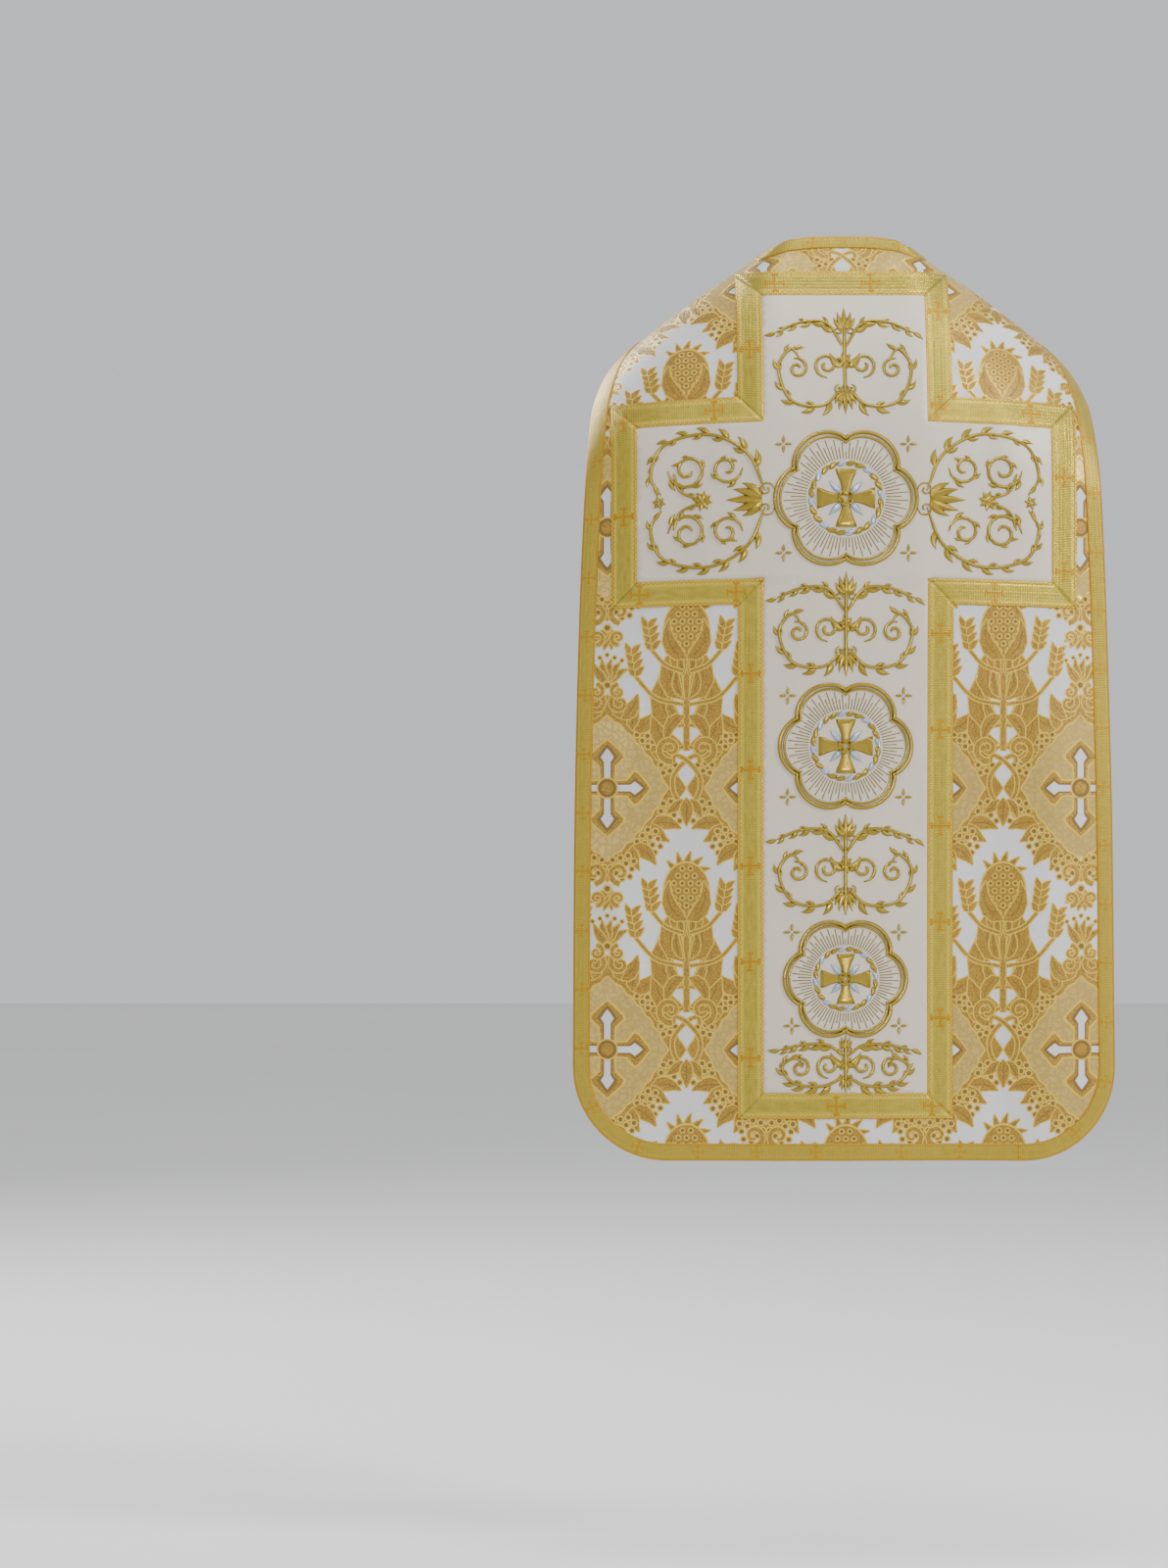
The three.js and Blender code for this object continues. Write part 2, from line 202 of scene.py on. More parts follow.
def grid_faces(a: Array, b: Array, c: Array, d: Array) -> Array:
    """Returns two triangles for each cell of a grid, from the numbers of its four corners in order."""
    return np.concatenate([np.stack(corners, -1).reshape(-1, 3) for corners in ((a, b, c), (a, c, d))])


def circle(angles: Array) -> Array:
    """Returns the points of a circle of radius 1 at some angles."""
    return np.stack([np.cos(angles), np.sin(angles)], 1)


def heading(degrees: float) -> Pair:
    """Returns the flat direction of length 1 at an angle in degrees."""
    return math.cos(math.radians(degrees)), math.sin(math.radians(degrees))


@dataclass(frozen=True)
class Line:
    """A smooth line through a short table of (where, value) pairs, held flat past its ends."""

    table: tuple[Pair, ...]

    def __call__(self, where: Array | float) -> Array:
        """Returns the line's value at each place."""
        x, y = np.array(self.table, float).T
        last = len(x) - 1
        low, high = np.maximum(np.arange(last + 1) - 1, 0), np.minimum(np.arange(last + 1) + 1, last)
        slope = (y[high] - y[low]) / (x[high] - x[low])
        w = np.clip(np.asarray(where, float), x[0], x[-1])
        k = np.clip(np.searchsorted(x, w, side="right") - 1, 0, last - 1)
        run = x[k + 1] - x[k]
        t = (w - x[k]) / run
        return (
            y[k] * (1 + 2 * t) * (1 - t) ** 2
            + slope[k] * run * t * (1 - t) ** 2
            + y[k + 1] * t * t * (3 - 2 * t)
            - slope[k + 1] * run * t * t * (1 - t)
        )


@dataclass(frozen=True)
class Crease:
    """A soft ridge or trough of the cloth, from one point to another on the front or the back."""

    front: bool
    start: Pair
    end: Pair
    width: float
    rise: float

    def height(self, x: Array, z: Array) -> Array:
        """Returns how far it lifts the cloth at each point."""
        a, b = np.array(self.start), np.array(self.end)
        along = b - a
        p = np.stack([x, z], -1) - a
        t = (p @ along) / (along @ along)
        off = np.abs(p[..., 0] * along[1] - p[..., 1] * along[0]) / np.linalg.norm(along)
        ends = smoothstep(t, -0.15, 0.25) * (1 - smoothstep(t, 0.75, 1.15))
        return self.rise * np.exp(-((off / self.width) ** 2)) * ends


@dataclass(frozen=True)
class Drape:
    """The worn cloth's face.

    Points are (x, reach): reach runs down the back from the crest, and is negative in front. A wave is its
    rise, its length for each radian, and its shift.
    """

    crest_height: Line = Line((
        (0, 58), (30, 50), (60, 27), (85, 0), (115, -22), (175, -62), (234, -105), (282, -145), (330, -198)))
    crest_depth: Line = Line((
        (0, -45), (30, -38), (60, -8), (85, 8), (115, 8), (175, 0), (234, -15), (282, -32), (330, -45)))
    back_turn: Line = Line(((0, 300), (85, 270), (175, 215), (282, 150), (330, 130)))
    front_turn: Line = Line(((0, 190), (85, 175), (175, 140), (282, 105), (330, 95)))
    back_middle: Line = Line(((-1125, 138), (-850, 134), (-600, 138), (-400, 146), (-230, 146), (0, 142)))
    front_middle: Line = Line(((-1015, -122), (-700, -125), (-400, -131), (-250, -131), (0, -124)))
    back_round: Line = Line(((-1125, 110), (-700, 140), (-400, 190), (0, 200)))
    front_round: Line = Line(((-1015, 110), (-650, 130), (-400, 190), (0, 200)))
    sag_line: Line = Line(((-1125, 2), (-450, 5), (-200, 8), (0, 0)))
    sag_levels: Pair = (155, 197)
    sag_half: float = 284
    nape_line: Line = Line((
        (-420, 146), (-300, 144), (-230, 138), (-197, 132), (-155, 121), (-110, 104), (-65, 81), (-42, 69),
        (-7, 53), (8, 48), (20, 46)))
    nape_foot: float = -420
    nape_sides: Pair = (45, 125)
    nape_reach: float = 30
    hang_levels: Pair = (380, 1100)
    front_waves: tuple[tuple[float, float, float], ...] = ((4, 46, 0.5), (-3, 83, 0))
    back_waves: tuple[tuple[float, float, float], ...] = ((4.5, 52, -0.4), (-3.5, 95, 0.3))
    round_reach: float = 420
    roof: float = 1.7
    aspect: float = 0.6
    creases: tuple[Crease, ...] = (
        Crease(False, (-152, -30), (-236, -400), 24, 3.3),
        Crease(False, (146, -60), (205, -420), 30, -2.7),
        Crease(False, (196, -500), (222, -1090), 34, -4.5),
        Crease(False, (-262, -470), (-238, -1110), 30, 4.5),
        Crease(False, (-168, -620), (-186, -1100), 26, -3.3),
        Crease(False, (268, -560), (282, -1040), 22, 3.6),
        Crease(False, (40, -560), (22, -1080), 44, -2.4),
        Crease(True, (-150, -270), (-215, -960), 30, 4.5),
        Crease(True, (160, -300), (186, -940), 26, -3.9),
        Crease(True, (236, -560), (246, -930), 24, 3.9),
        Crease(True, (-20, -330), (14, -980), 40, -3.0),
        Crease(True, (-128, -60), (-178, -215), 22, 2.7),
        Crease(True, (120, -70), (164, -215), 26, 2.7),
    )

    def cap(self) -> tuple[Array, Array, Array]:
        """Returns the cap's shares of its turn, its length up to each, and its share of depth at each."""
        share = np.linspace(0, 1, 201) ** 2
        out = (1 - (1 - share) ** self.roof) ** (1 / self.roof)
        steps = np.hypot(np.diff(share), self.aspect * np.diff(out))
        return share, np.concatenate([[0], np.cumsum(steps)]), out

    def turn(self, x: Array, front: Array) -> Array:
        """Returns how far below the crest the cloth turns upright."""
        side = np.abs(x)
        return np.where(front, self.front_turn(side), self.back_turn(side))

    def reach(self, x: Array, z: Array, front: bool) -> Array:
        """Returns the signed reach of points that are given by their height.

        Args:
            x: distances from the middle.
            z: heights.
            front: whether they lie on the front.

        Returns:
            Reach from the crest, negative in front.
        """
        share, length, _ = self.cap()
        turn = self.turn(x, front)
        down = np.maximum(self.crest_height(np.abs(x)) - z, 0) / turn
        far = turn * np.where(down < 1, np.interp(down, share, length), length[-1] + down - 1)
        return -far if front else far

    def height(self, x: Array, reach: Array) -> Array:
        """Returns the heights of points that are given by their reach."""
        share, length, _ = self.cap()
        turn = self.turn(x, reach < 0)
        far = np.abs(reach) / turn
        down = np.where(far < length[-1], np.interp(far, length, share), 1 + far - length[-1])
        return self.crest_height(np.abs(x)) - turn * down

    def sag(self, x: Array, z: Array) -> Array:
        """Returns how far a level line of the cut hangs below its middle."""
        fade = smoothstep(-np.asarray(z, float), *self.sag_levels)
        return self.sag_line(z) * fade * (np.asarray(x) / self.sag_half) ** 2

    def place(self, x: Array, reach: Array) -> Array:
        """Returns the points of the face, in millimetres."""
        x, reach = np.broadcast_arrays(np.asarray(x, float), np.asarray(reach, float))
        _, cap_length, out = self.cap()
        front, side = reach < 0, np.abs(x)
        z = self.height(x, reach)
        turn = self.turn(x, front)
        bend = 1 - np.sqrt(1 - np.minimum(side / self.round_reach, 0.99) ** 2)
        hanging = np.where(
            front,
            self.front_middle(z) + self.front_round(z) * bend,
            self.back_middle(z) - self.back_round(z) * bend,
        )
        near = self.crest_depth(side)
        y = near + (hanging - near) * np.interp(np.abs(reach) / turn, cap_length, out)
        nape = np.where(front | (z < self.nape_foot), 0, 1 - smoothstep(side, *self.nape_sides))
        nape = nape * smoothstep(reach, 0, self.nape_reach)
        y = y + nape * (self.nape_line(z) - y)
        hang = smoothstep(-z, *self.hang_levels)
        front_wave, back_wave = (
            sum(rise * np.cos(x / length + shift) for rise, length, shift in waves)
            for waves in (self.front_waves, self.back_waves)
        )
        y = y + hang * np.where(front, front_wave, back_wave)
        for crease in self.creases:
            lift = crease.height(x, z)
            y = y + np.where(front == crease.front, -lift if crease.front else lift, 0)
        return np.stack([x, y, z], -1)

    def on(self, x: Array, reach: Array, height: Array | float = 0.0) -> Array:
        """Returns points at a height over the face.

        Args:
            x: distances from the middle.
            reach: reaches from the crest.
            height: heights over the face, along its normal.

        Returns:
            Points, in millimetres.
        """
        x, reach = np.broadcast_arrays(np.asarray(x, float), np.asarray(reach, float))
        step = 0.6
        across = self.place(x + step, reach) - self.place(x - step, reach)
        down = self.place(x, reach + step) - self.place(x, reach - step)
        n = np.cross(across, down)
        n /= np.linalg.norm(n, axis=-1, keepdims=True)
        return self.place(x, reach) + n * np.asarray(height, float)[..., None]


DRAPE = Drape()


def far_down(x: float, z: float, front: bool) -> float:
    """Returns the signed reach of one point that is given by its height."""
    return float(DRAPE.reach(np.array(x), np.array(z), front))


@dataclass(frozen=True)
class Cut:
    """The garment's sizes, and the number of points along each stretch of its edges."""

    band: float = 20
    galloon: float = 31.5
    back_hem: float = -1125
    front_hem: float = -1015
    seam: float = -232
    neck_foot: float = -185
    back_half: float = 331
    front_half: float = 288
    cross_half: float = 99.5
    arm_half: float = 253
    column_half: float = 91
    neck_foot_half: float = 50
    back_corner: float = 115
    front_corner: float = 120
    arm_foot: float = -449
    arm_top_in: float = -225
    arm_head: float = -197.5
    cross_head_in: float = -65
    cross_foot: float = -1075
    column_head: float = -246
    hem_lap: float = 19
    tuck: float = 2
    chest_half: float = 190
    chest_level: float = -232.2
    back_side: Line = Line(((-1010, 331), (-700, 329), (-450, 323), (-290, 316), (-225, 311), (-197.5, 308)))
    front_side: Line = Line((
        (-860, 288), (-700, 288), (-640, 284), (-588, 274), (-520, 252), (-453, 228), (-385, 210),
        (-317, 204), (-249.5, 205.5)))
    crest_side: tuple[float, ...] = (304, 299, 290, 281, 277.5, 274.5, 271.5)
    strap_side: tuple[float, ...] = (269, 264, 255, 239, 228, 221, 216, 211, 209, 207, 205.5)
    cap_share: tuple[float, ...] = (0.22, 0.43, 0.69, 0.86, 0.915, 0.953, 0.98)
    strap_share: tuple[float, ...] = (0, 0.05, 0.16, 0.34, 0.55, 0.78, 1)
    strap_levels: tuple[float, ...] = (-205, -215, -232, -249.5)
    strap_drop: float = 4.0
    neck_side: tuple[float, ...] = (88, 87.8, 86.5, 82, 73, 61.5, 50)
    nape_edge: tuple[Pair, ...] = ((0, 8), (27, 7.5), (55, 5), (75, -0.5), (82, -5))
    nape_inner: tuple[Pair, ...] = ((0, -7), (28, -7.5), (56, -10), (84, -16), (102, -21))
    neck_corner: float = 86
    neck_corner_share: float = 0.35
    strap_ease: float = 0.12
    hem_points: int = 30
    corner_points: int = 24
    side_points: int = 90
    shoulder_points: int = 110
    neck_points: int = 150
    neck_foot_points: int = 20
    seam_points: int = 34

    def side_line(self, inset: float) -> Array:
        """Returns the outer edge, or a line inside it, from the back hem's middle to the front hem's.

        Args:
            inset: how far inside the edge the line runs.

        Returns:
            Points (x, reach) of the wearer's left half, the same number for every inset.
        """
        points: list[Pair] = []

        def level(x: float, z: float, front: bool) -> None:
            """Adds a point that is given by its height in the level cut."""
            points.append((x, far_down(x, float(z - DRAPE.sag(x, z)), front)))

        def corner(half: float, hem: float, size: float, start: float, end: float, front: bool) -> None:
            """Adds a hem's rounded corner, from one angle to another."""
            r = size - inset
            for angle in np.radians(np.linspace(start, end, self.corner_points))[1:]:
                level(half - size + r * math.cos(angle), hem + size - r * math.sin(angle), front)

        for x in np.linspace(0, self.back_half - self.back_corner, self.hem_points):
            level(x, self.back_hem + inset, False)
        corner(self.back_half, self.back_hem, self.back_corner, 90, 0, False)
        for z in np.linspace(self.back_hem + self.back_corner, self.arm_head, self.side_points)[1:]:
            level(float(self.back_side(z)) - inset, z, False)
        points.extend(self.shoulder(inset, points[-1]))
        for z in np.linspace(self.strap_levels[-1], self.front_hem + self.front_corner, self.side_points)[1:]:
            level(float(self.front_side(z)) - inset, z, True)
        corner(self.front_half, self.front_hem, self.front_corner, 0, 90, True)
        for x in np.linspace(self.front_half - self.front_corner, 0, self.corner_points)[1:]:
            level(x, self.front_hem + inset, True)
        return np.array(points)

    def shoulder(self, inset: float, start: Pair) -> list[Pair]:
        """Returns the outer edge, or a line inside it, over the shoulder and down the strap.

        Args:
            inset: how far inside the edge the line runs.
            start: the point of the back's side that it carries on from, which it leaves out.

        Returns:
            Points (x, reach) in even steps.
        """
        sides = [start[0], *[s - inset for s in self.crest_side], self.strap_side[0] - inset]
        reaches = [start[1] * (1 - s) for s in (0, *self.cap_share, 1)]
        end = far_down(self.strap_side[6] - inset, self.neck_foot, True)
        for side, share in zip(self.strap_side[1:7], self.strap_share[1:]):
            sides.append(side - inset)
            reaches.append(end * share)
        for side, z in zip(self.strap_side[7:], self.strap_levels):
            sides.append(side - inset)
            reaches.append(far_down(side - inset, z - self.strap_drop, True))
        way = running_length(np.stack([sides, reaches], 1))
        fine = np.linspace(0, way[-1], self.shoulder_points)[1:]
        xs, rs = Line(tuple(zip(way, sides)))(fine), Line(tuple(zip(way, reaches)))(fine)
        return list(zip(xs.tolist(), rs.tolist()))

    def neck_line(self, inset: float) -> Array:
        """Returns the neck edge, or a line outside it, from the nape's middle to the front's.

        Args:
            inset: how far from the neck edge, into the cloth, the line runs.

        Returns:
            Points (x, reach) of the wearer's left half, the same number for every inset.
        """
        share_in = inset / self.band
        points = []
        for (x, z), (x_in, z_in) in zip(self.nape_edge, self.nape_inner):
            at = x + (x_in - x) * share_in
            points.append((at, far_down(at, z + (z_in - z) * share_in, False)))
        points.append((self.neck_corner + inset, points[-1][1] * self.neck_corner_share))
        foot = far_down(self.neck_foot_half, self.neck_foot, True)
        for side, share in zip(self.neck_side, self.strap_share):
            points.append((side + inset, foot * share * (1 - self.strap_ease * share_in)))
        table = np.array(points)
        way = running_length(table)
        xs, rs = (Line(tuple(zip(way, column))) for column in table.T)
        fine = [(float(xs(w)), float(rs(w))) for w in np.linspace(0, way[-1], self.neck_points)]
        for x in np.linspace(self.neck_foot_half + inset, 0, self.neck_foot_points):
            fine.append((x, far_down(x, self.neck_foot - inset, True)))
        return np.array(fine)


CUT = Cut()


class Chart(Enum):
    """How a flat drawing's points are laid on the drape."""

    FREE = "by reach from the crest"
    BACK = "by level height on the back"
    FRONT = "by level height on the front"

    def to_reach(self, flat: Array) -> Array:
        """Returns drawn points as (x, reach)."""
        if self is Chart.FREE:
            return np.asarray(flat, float)
        x, z = flat[..., 0], flat[..., 1]
        return np.stack([x, DRAPE.reach(x, z - DRAPE.sag(x, z), self is Chart.FRONT)], -1)

    def on(self, flat: Array, height: Array | float = 0.0) -> Array:
        """Returns drawn points at a height over the face, in millimetres."""
        at = self.to_reach(flat)
        return DRAPE.on(at[..., 0], at[..., 1], height)


def segments(ring: Array, step: float = 7.0) -> Array:
    """Returns a closed line as short segments, each a start and an end."""
    parts = []
    for a, b in zip(ring, np.roll(ring, -1, 0)):
        n = max(1, math.ceil(float(np.linalg.norm(b - a)) / step - 1e-6))
        parts.append(a + (b - a) * (np.arange(n + 1) / n)[:, None])
    parts = [part for part in parts if np.abs(part[0] - part[-1]).max() > 1e-6]
    return np.concatenate([np.stack([part[:-1], part[1:]], 1) for part in parts])


def inside(points: Array, edges: Array) -> Array:
    """Tells which points lie inside closed lines, by the even-odd rule.

    Args:
        points: flat points.
        edges: the lines, as segments.

    Returns:
        A flag for each point.
    """
    hit = np.zeros(len(points), bool)
    low, high = edges.reshape(-1, 2).min(0), edges.reshape(-1, 2).max(0)
    near = np.flatnonzero(((points >= low) & (points <= high)).all(1))
    (ax, ay), (bx, by) = edges[:, 0].T, edges[:, 1].T
    for part in np.array_split(near, len(near) * len(edges) // TESTS_AT_ONCE + 1):
        px, py = points[part, 0, None], points[part, 1, None]
        with np.errstate(divide="ignore", invalid="ignore"):
            cut = ax + (py - ay) / (by - ay) * (bx - ax)
        hit[part] = (((ay > py) != (by > py)) & (px < cut)).sum(1) % 2 == 1
    return hit


def weld(points: Array) -> tuple[Array, Array]:
    """Returns the distinct points to a 64th of a millimetre, and each given point's number among them."""
    keys = np.round(np.asarray(points, float) * WELD).astype(np.int64)
    keys, number = np.unique(keys, axis=0, return_inverse=True)
    return keys / WELD, number.ravel()


def triangulate(edges: Array, spacing: float, gap: float) -> tuple[Array, Array]:
    """Fills the plane round some segments with triangles that keep to them.

    Args:
        edges: the segments.
        spacing: the distance between the points laid among them.
        gap: how near such a point may lie to a segment's end.

    Returns:
        Points and triangles, counterclockwise.
    """
    points, number = weld(edges.reshape(-1, 2))
    ends = number.reshape(-1, 2)
    ends = np.unique(np.sort(ends[ends[:, 0] != ends[:, 1]], 1), axis=0)
    low, high = points.min(0), points.max(0)
    rise = spacing * 0.866
    rows = []
    for k, y in enumerate(np.arange(low[1] + rise / 2, high[1], rise)):
        x = np.arange(low[0] + (k % 2) * spacing / 2, high[0], spacing)
        rows.append(np.stack([x, np.full_like(x, y)], 1))
    grid = np.concatenate(rows)
    tree = KDTree(len(points))
    for k, (x, y) in enumerate(points):
        tree.insert((x, y, 0), k)
    tree.balance()
    grid = grid[[tree.find((x, y, 0))[2] > gap for x, y in grid]]
    every = [Vector((float(x), float(y))) for x, y in np.concatenate([points, grid])]
    made = delaunay_2d_cdt(every, [tuple(map(int, e)) for e in ends], [], 0, 1e-4)
    flat, number = weld(np.array([tuple(v) for v in made[0]]))
    faces = number[np.array([tuple(f) for f in made[2]])]
    faces = faces[(faces != np.roll(faces, 1, 1)).all(1)]
    a, b, c = (flat[faces[:, k]] for k in range(3))
    turned = np.cross(b - a, c - a) < 0
    faces[turned] = faces[turned][:, ::-1]
    return flat, faces


def fill(edges: Array, spacing: float) -> tuple[Array, Array]:
    """Fills closed lines with triangles, by the even-odd rule."""
    flat, faces = triangulate(edges, spacing, spacing * 0.55)
    return flat, faces[inside(flat[faces].mean(1), edges)]


@dataclass
class Patch:
    """A flat drawing in triangles, ready to be laid on the drape."""

    chart: Chart
    points: Array
    triangles: Array
    finish: Array
    height: Array
    uv: Array

    @classmethod
    def cut(cls, chart: Chart, edges: Array, spacing: float, height: float, finish: int = 0) -> Patch:
        """Cuts a patch of one height and finish from closed lines."""
        flat, faces = fill(edges, spacing)
        return cls(chart, flat, faces, np.full(len(faces), finish), np.full(len(flat), height), flat.copy())

    @classmethod
    def join(cls, patches: Sequence[Patch]) -> Patch:
        """Joins patches of one chart, and welds the points that they share."""
        points, number = weld(np.concatenate([p.points for p in patches]))
        starts = np.cumsum([0, *[len(p.points) for p in patches]])
        faces = number[np.concatenate([p.triangles + s for p, s in zip(patches, starts)])]
        whole = (faces != np.roll(faces, 1, 1)).all(1)
        height, uv = np.zeros(len(points)), np.zeros((len(points), 2))
        height[number] = np.concatenate([p.height for p in patches])
        uv[number] = np.concatenate([p.uv for p in patches])
        finish = np.concatenate([p.finish for p in patches])
        return cls(patches[0].chart, points, faces[whole], finish[whole], height, uv)

    def rim(self) -> Array:
        """Returns the edges that only one triangle has, as pairs of point numbers."""
        sides = np.concatenate([self.triangles[:, pair] for pair in ([0, 1], [1, 2], [2, 0])])
        _, first, count = np.unique(np.sort(sides, 1), axis=0, return_index=True, return_counts=True)
        return sides[first[count == 1]]


@dataclass
class Pile:
    """The parts of one mesh, gathered before it is made."""

    points: list[Array] = field(default_factory=list)
    faces: list[Array] = field(default_factory=list)
    finish: list[Array] = field(default_factory=list)
    uv: list[Array] = field(default_factory=list)
    count: int = 0

    def add(self, points: Array, faces: Array, finish: Array, uv: Array) -> None:
        """Adds triangles with a finish each, and flat places for points or for each triangle's corners."""
        self.points.append(points)
        self.faces.append(np.asarray(faces) + self.count)
        self.finish.append(np.broadcast_to(finish, len(faces)))
        self.uv.append(uv if uv.ndim == 3 else uv[faces])
        self.count += len(points)

    def lay(self, patch: Patch, low: float, under: float = 0.0) -> None:
        """Adds a patch as a closed shell.

        Args:
            patch: the upper face.
            low: the height of the lower face.
            under: the spacing of the lower face's own triangles, or 0 to repeat the upper face's.
        """
        rim, points = patch.rim(), patch.points
        if under:
            base, faces = fill(points[rim], under)
            _, number = weld(np.concatenate([base, points]))
            place = {int(n): k for k, n in enumerate(number[: len(base)])}
            foot = {int(k): place[int(number[len(base) + k])] for k in np.unique(rim)}
        else:
            base, faces, foot = points, patch.triangles, {int(k): int(k) for k in np.unique(rim)}
        n = len(points)
        walls = []
        for a, b in rim:
            c, d = foot[int(a)] + n, foot[int(b)] + n
            walls += [(a, c, d), (a, d, b)]
        flat = np.concatenate([points, base])
        every = np.concatenate([patch.triangles, faces[:, ::-1] + n, np.array(walls)])
        at = patch.chart.to_reach(points)
        a, b, c = (at[patch.triangles[:, k]] for k in range(3))
        if np.median(np.cross(b - a, c - a)) < 0:
            every = every[:, ::-1]
        finish = np.concatenate([patch.finish, np.zeros(len(every) - len(patch.finish), int)])
        uv = np.concatenate([patch.uv, base if under else patch.uv])
        height = np.concatenate([patch.height, np.full(len(base), low)])
        self.add(patch.chart.on(flat, height), every, finish, uv)

    def sweep(
        self, chart: Chart, path: Array, widths: Array, heights: Array, low: float, finish: int = 0,
        sides: int = 5
    ) -> None:
        """Adds a low rounded form along a path, such as a laid cord or a padded leaf.

        Args:
            chart: how the path is laid.
            path: its flat points.
            widths: its whole width at each.
            heights: its height over low at each.
            low: the height that it lies on.
            finish: its finish's number.
            sides: how many points its rounded section has.
        """
        path = np.asarray(path, float)
        _, across = directions(path)
        turn = np.linspace(-1, 1, sides)
        half = np.asarray(widths, float)[:, None] / 2
        flat = path[:, None] + across[:, None] * (half * turn)[..., None]
        height = low + np.asarray(heights, float)[:, None] * np.sqrt(np.maximum(1 - turn**2, 0))
        rows = len(path)
        number = np.arange(rows * sides).reshape(rows, sides)
        a, b = number[:-1], number[1:]
        right, left = np.roll(a, -1, 1), np.roll(b, -1, 1)
        ends = [(number[0, 0], number[0, k + 1], number[0, k]) for k in range(1, sides - 1)]
        ends += [(number[-1, 0], number[-1, k], number[-1, k + 1]) for k in range(1, sides - 1)]
        faces = np.concatenate([grid_faces(a, right, left, b), np.array(ends)])
        at = chart.to_reach(flat[:2, [0, -1]].reshape(-1, 2))
        if np.cross(at[1] - at[0], at[2] - at[0]) < 0:
            faces = faces[:, ::-1]
        uv = np.stack(np.broadcast_arrays(running_length(path)[:, None], half * turn), -1).reshape(-1, 2)
        self.add(chart.on(flat, height).reshape(-1, 3), faces, finish, uv)

    def make(self, name: str, finishes: Sequence[Material]) -> Piece:
        """Makes the gathered mesh, its flat map in metres.

        Args:
            name: the object's name.
            finishes: the materials by number.

        Returns:
            The object, at the origin.
        """
        mesh = bpy.data.meshes.new(name)
        used, faces = np.unique(np.concatenate(self.faces), return_inverse=True)
        faces = faces.reshape(-1, 3)
        mesh.from_pydata((np.concatenate(self.points)[used] * MM).tolist(), [], faces.tolist())
        flat = (np.concatenate(self.uv) * MM).astype(np.float32)
        mesh.uv_layers.new(name="flat").data.foreach_set("uv", flat.ravel())
        mesh.polygons.foreach_set("material_index", np.concatenate(self.finish).astype(np.int32))
        mesh.polygons.foreach_set("use_smooth", np.ones(len(faces), bool))
        for finish in finishes:
            mesh.materials.append(finish)
        mesh.update()
        piece = bpy.data.objects.new(name, mesh)
        bpy.context.scene.collection.objects.link(piece)
        LOG.info("%s: %d triangles", name, len(faces))
        return piece


def mirrored(line: Array) -> Array:
    """Returns a closed ring from a half that starts and ends on the middle line."""
    return np.concatenate([line, (line * [-1, 1])[-2:0:-1]])


def curve(*points: Pair, step: float = 3.0) -> Array:
    """Returns a smooth path through some points, in even steps."""
    table = np.array(points, float)
    way = running_length(table)
    where = np.linspace(0, way[-1], max(3, int(way[-1] / step) + 1))
    return np.stack([Line(tuple(zip(way, column)))(where) for column in table.T], -1)


def spiral(
    centre: Pair, radius: float, start: float, turns: float = 1.4, way: int = 1, inner: float = 0.22
) -> Array:
    """Returns a scroll's path, from its outside in.

    Args:
        centre: its middle.
        radius: its outer radius.
        start: the angle of its start, in degrees.
        turns: how far it winds.
        way: 1 for counterclockwise.
        inner: the inner radius as a share of the outer.

    Returns:
        The points of the path.
    """
    t = np.linspace(0, 1, max(8, int(turns * 15)))
    angle = math.radians(start) + way * t * turns * 2 * math.pi
    r = radius * (1 - (1 - inner) * t)
    return np.stack([centre[0] + r * np.cos(angle), centre[1] + r * np.sin(angle)], 1)


def leaf_path(foot: Pair, angle: float, length: float, bend: float, count: int) -> Array:
    """Returns the midrib of a curved leaf.

    Args:
        foot: where it grows from.
        angle: its direction, in degrees.
        length: its length.
        bend: how far it curves, in radians, positive for counterclockwise.
        count: how many points it has.

    Returns:
        The points from foot to tip.
    """
    t = np.linspace(0, 1, count)
    turn = math.radians(angle) + bend * (t - 0.3)
    return np.array(foot) + length * np.stack([t * np.cos(turn), t * np.sin(turn)], 1)


def leaf_widths(count: int, width: float, full: float = 0.4) -> Array:
    """Returns a leaf's widths along its midrib, widest at a share of its length."""
    t = np.linspace(0, 1, count)
    bend = math.log(0.5) / math.log(full)
    return np.maximum(width * np.sin(np.pi * t**bend), 0.05 * width)


class Weave(IntEnum):
    """The brocade's yarns, as they show on its face."""

    SATIN = 0
    FIELD = 1
    FIGURE = 2
    SHADE = 3
    EDGE = 4


WEAVE_HEIGHT = {Weave.SATIN: 0.0, Weave.FIELD: 0.05, Weave.FIGURE: 0.22, Weave.SHADE: 0.12, Weave.EDGE: 0.3}


